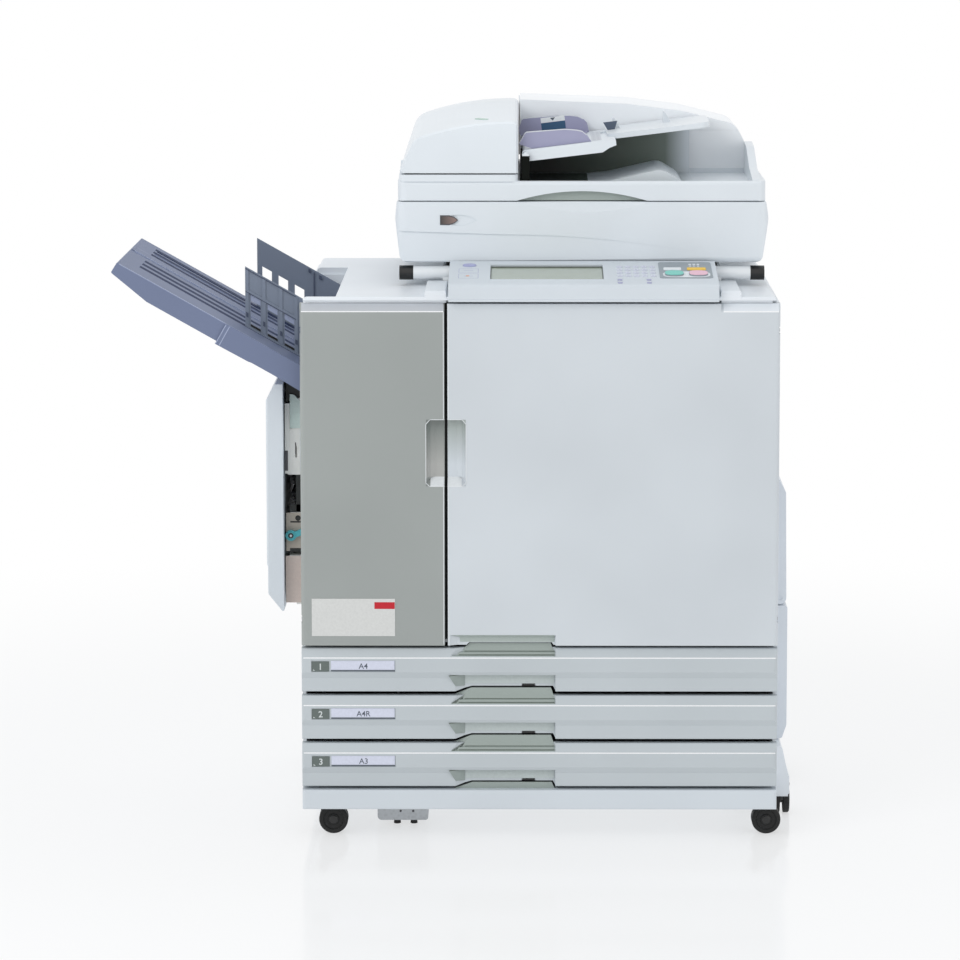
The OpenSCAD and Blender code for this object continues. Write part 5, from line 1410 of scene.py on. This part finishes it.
class PRINTER_OT_castor_caps(Operator):
    """Cap the axles of the castors and pin the lock bracket"""
    bl_idname = "printer.castor_caps"
    bl_label = "Castor Caps"

    def execute(self, context):
        for number in CASTORS:
            low, high = corners(f"castor_wheels_{number}")
            axle = 0 if number in SIDE_CASTORS else 1
            at = [(a + b) / 2 for a, b in zip(low, high)]
            way = [0, 0, 0]
            cap = Shape("hood_plastic")
            for side, level in ((-1, low[axle]), (1, high[axle])):
                way[axle], at[axle] = side, level - side * 0.6
                hood = stud(7, 0, 1.2, chamfer=(0.8, 0.5), sides=32)
                cap.add(hood, 0, facing(*at, way))
                cap.add(stud(2.4, 1.1, 1.4), 0, facing(*at, way))
            cap.finish(f"castor_{number}_caps", f"wheels_{number}", "rubber")
        low = corners("lock_bracket")[0]
        pins = Shape("black_plastic", at=shift(*low))
        for x in (40, 62):
            pins.add(stud(2.1, 0, 2.2, chamfer=(0.9, 0.6)), 0, facing(x, 1.8, 16, FORWARD))
        pins.finish("bracket_pins", slot="black_plastic")
        return {"FINISHED"}


class PRINTER_OT_rear_fittings(Operator):
    """Fit the power inlet, the rocker switch, the sockets and the screws"""
    bl_idname = "printer.rear_fittings"
    bl_label = "Rear Fittings"

    def execute(self, context):
        low, high = corners("rear_panel")
        left, right, bottom, face = low[0], high[0], low[2], high[1]
        self.power_fittings(shift(left, face, bottom))
        self.sockets(shift(right - 189, face, bottom + 301))
        self.panel_screws(left, right, face)
        low, high = corners("stand_frame")
        places = [((x, y, high[2] - 0.1), (0, 0, 1))
                  for x in (low[0] + 22, high[0] - 22) for y in (-20, 60, 150)]
        screws("stand_screws", "cabinet", places, radius=3, height=1.2)
        return {"FINISHED"}

    def power_fittings(self, at):
        """The three-pin power inlet and the rocker switch, both in the rear panel's recesses."""
        power = Shape("black_plastic", "pin_gold", at=at)
        low, high = (61, 41), (117, 77)
        power.prism(rounded(low, high, radius=4), -4.9, -3.6, "Y")
        for (x0, z0), (x1, z1) in border(low, high, foot=5, side=14):
            power.bar((x0, -4.8, z0), (x1, -0.4, z1), 0.6)
        for x, z in ((82, 55), (96, 55), (89, 62)):
            power.bar((x - 1, -4, z - 3), (x + 1, -1, z + 3), 0.4, 1)
        x0, x1, z0, z1 = 133, 155, 45, 73
        power.prism(rounded((x0, z0), (x1, z1), radius=3), -4.9, -2.6, "Y")
        rocker = [(-3, z0 + 4), (1.4, z0 + 6), (-1.2, (z0 + z1) / 2), (-0.4, z1 - 6), (-3, z1 - 4)]
        power.prism(rocker, x0 + 4, x1 - 4, "X", edge=0.5)
        power.finish("power_inlet_and_switch", slot="black_plastic")

    def sockets(self, at):
        """Framed sockets on a pale plate."""
        ports = Shape("bright_steel", "black_plastic", "pin_gold", "duct_plastic", at=at)
        ports.prism(rounded((0, 0), (128, 70), radius=4.5), -4.9, -3.9, "Y", finish=3)
        for x0, z0, wide, tall in ((12, 38, 19, 16), (42, 38, 19, 16), (80, 40, 14, 7),
                                   (80, 52, 14, 7), (12, 12, 42, 12)):
            x1, z1 = x0 + wide, z0 + tall
            for a, b in border((x0, z0), (x1, z1), foot=1.4):
                ports.bar((a[0], -4, a[1]), (b[0], -0.6, b[1]), 0.3)
            ports.bar((x0 + 1.2, -4, z0 + 1.2), (x1 - 1.2, -3.2, z1 - 1.2), finish=1)
            ports.bar((x0 + 3, -3.4, z1 - 4.4), (x1 - 3, -2.6, z1 - 3.2), 0.2, 2)
        ports.finish("rear_sockets", slot="black_plastic")

    def panel_screws(self, left, right, face, sunk=0.1):
        """Screws along the edges of the rear panel and of both side panels."""
        places = []
        for columns, rows in (((left + 10, -60, 60, right - 10), (104, 326, 354, 912)),
                              ((left + 10, right - 10), (215, 540, 720))):
            places += [((x, face - sunk, z), (0, 1, 0)) for x in columns for z in rows]
        for x, way, columns, rows in (
                (corners("left_panel")[0][0] + sunk, -1, (214, 306), (104, 300, 520, 690)),
                (corners("right_panel")[1][0] - 2 - sunk, 1, (248, 308), (104, 420, 660, 912))):
            places += [((x, y, z), (way, 0, 0)) for y in columns for z in rows]
        screws("panel_screws", "cabinet", places)


# ---- Stage ----

def lamp(name, watts, place, aim, width, height):
    light = bpy.data.lights.new(name, "AREA")
    light.shape = "RECTANGLE"
    light.energy, light.size, light.size_y = watts, width, height
    holder = bpy.data.objects.new(name, light)
    holder.location = place
    holder.rotation_euler = (Vector(aim) - Vector(place)).to_track_quat("-Z", "Y").to_euler()
    bpy.context.scene.collection.objects.link(holder)


def blend_shaders(tree, factor, first, second, x, y):
    mix = node_at(tree, "ShaderNodeMixShader", x, y)
    feed(tree, mix, {"Fac": factor, 1: first, 2: second})
    return mix.outputs["Shader"]


def floor_material():
    """Pale glossy floor near the printer that runs out to plain white."""
    material, tree, shader, where = start_material("studio_floor")
    feed(tree, shader, {
        "Base Color": (0.93, 0.94, 0.95, 1), "Roughness": 0.12, "Specular IOR Level": 0.5})
    distance = node_at(tree, "ShaderNodeVectorMath", -600, -500, {0: where}, operation="LENGTH")
    fade = node_at(tree, "ShaderNodeMapRange", -300, -500, {
        "Value": distance.outputs["Value"], "From Min": 0.9, "From Max": 2.6, "To Min": 0.58},
        interpolation_type="SMOOTHSTEP")
    white = node_at(tree, "ShaderNodeEmission", 0, -500, {"Color": (1, 1, 1, 1)})
    output = next(n for n in tree.nodes if n.type == "OUTPUT_MATERIAL")
    blend = blend_shaders(tree, fade.outputs["Result"], shader.outputs["BSDF"],
                          white.outputs["Emission"], 450, -200)
    feed(tree, output, {"Surface": blend})
    return material


def studio_world(strength):
    """Even pale light all round, plain white where the camera, a gloss or the glass sees it."""
    world = bpy.data.worlds.new("studio_light")
    bpy.context.scene.world = world
    world.use_nodes = True
    tree = world.node_tree
    tree.nodes.clear()
    rays = node_at(tree, "ShaderNodeLightPath", -600, 200)
    seen = rays.outputs["Is Camera Ray"]
    for name in ("Is Glossy Ray", "Is Transmission Ray"):
        either = node_at(tree, "ShaderNodeMath", -300, 200, {0: seen, 1: rays.outputs[name]},
                         operation="MAXIMUM")
        seen = either.outputs["Value"]
    light = node_at(tree, "ShaderNodeBackground", -100, 0, {
        "Color": (0.96, 0.98, 1, 1), "Strength": strength})
    white = node_at(tree, "ShaderNodeBackground", -100, -200, {"Color": (1, 1, 1, 1)})
    blend = blend_shaders(
        tree, seen, light.outputs["Background"], white.outputs["Background"], 200, 0)
    node_at(tree, "ShaderNodeOutputWorld", 400, 0, {"Surface": blend})


class PRINTER_OT_stage(Operator):
    """Set up the floor, the soft studio light and the camera"""
    bl_idname = "printer.stage"
    bl_label = "Stage"

    def execute(self, context):
        scene = context.scene
        settings = scene.printer_stage
        scene.view_settings.view_transform = "Standard"
        disc = bmesh.new()
        bmesh.ops.create_circle(disc, cap_ends=True, segments=96, radius=14)
        mesh = bpy.data.meshes.new("floor")
        disc.to_mesh(mesh)
        disc.free()
        floor = bpy.data.objects.new("floor", mesh)
        scene.collection.objects.link(floor)
        mesh.materials.append(floor_material())
        studio_world(settings.sky)
        for name, watts, place, aim, width, height in (
                ("key_lamp", settings.key_power, (-2.6, -3.6, 3.4), (0, 0, 0.6), 2.6, 2.2),
                ("fill_lamp", settings.fill_power, (3.4, -2.4, 1.8), (0, 0, 0.6), 2.0, 2.4),
                ("top_lamp", settings.top_power, (0.2, 0.8, 4.2), (0, 0, 0.8), 3.0, 2.4),
                ("left_lamp", settings.left_power, (-3.2, -1.2, 0.5), (-0.4, -0.1, 0.6), 1.6, 1.2)):
            lamp(name, watts, place, aim, width, height)
        camera = bpy.data.cameras.new("camera")
        camera.lens = 143.68
        camera.shift_x, camera.shift_y = -0.0341, -0.16
        camera.clip_end = 60
        holder = bpy.data.objects.new("camera", camera)
        holder.location = (-0.0265, -6.7184, 1.6673)
        pitch, yaw = 0.1214, 0.003
        holder.rotation_euler = (math.pi / 2 - pitch, 0, yaw)
        scene.collection.objects.link(holder)
        scene.camera = holder
        return {"FINISHED"}


class PRINTER_PT_panel(Panel):
    bl_idname = "PRINTER_PT_panel"
    bl_label = "Production Printer"
    bl_space_type = "VIEW_3D"
    bl_region_type = "UI"
    bl_category = "Printer"

    def draw(self, context):
        for name in GROUPS:
            group = getattr(context.scene, name)
            box = self.layout.box()
            for setting in group.__annotations__:
                box.prop(group, setting)
        for step in STEPS:
            self.layout.operator(step.bl_idname)


GROUPS = {
    "printer_colours": PrinterColours, "printer_sizes": PrinterSizes, "printer_stage": PrinterStage}
STEPS = (
    PRINTER_OT_stage, PRINTER_OT_finishes, PRINTER_OT_drawer_labels, PRINTER_OT_drawer_grips,
    PRINTER_OT_drawer_insides, PRINTER_OT_door_plate, PRINTER_OT_door_grips,
    PRINTER_OT_door_finger_room, PRINTER_OT_cover_seal, PRINTER_OT_ink_bay,
    PRINTER_OT_panel_details, PRINTER_OT_scanner_details, PRINTER_OT_feeder_details,
    PRINTER_OT_tray_details, PRINTER_OT_side_details, PRINTER_OT_castor_caps,
    PRINTER_OT_rear_fittings,
)
CLASSES = (*GROUPS.values(), *STEPS, PRINTER_PT_panel)


def register():
    for item in CLASSES:
        bpy.utils.register_class(item)
    for name, group in GROUPS.items():
        setattr(bpy.types.Scene, name, PointerProperty(type=group))


def unregister():
    for name in GROUPS:
        delattr(bpy.types.Scene, name)
    for item in reversed(CLASSES):
        bpy.utils.unregister_class(item)


def main():
    register()
    for step in STEPS:
        family, action = step.bl_idname.split(".")
        getattr(getattr(bpy.ops, family), action)()


if __name__ == "__main__":
    main()
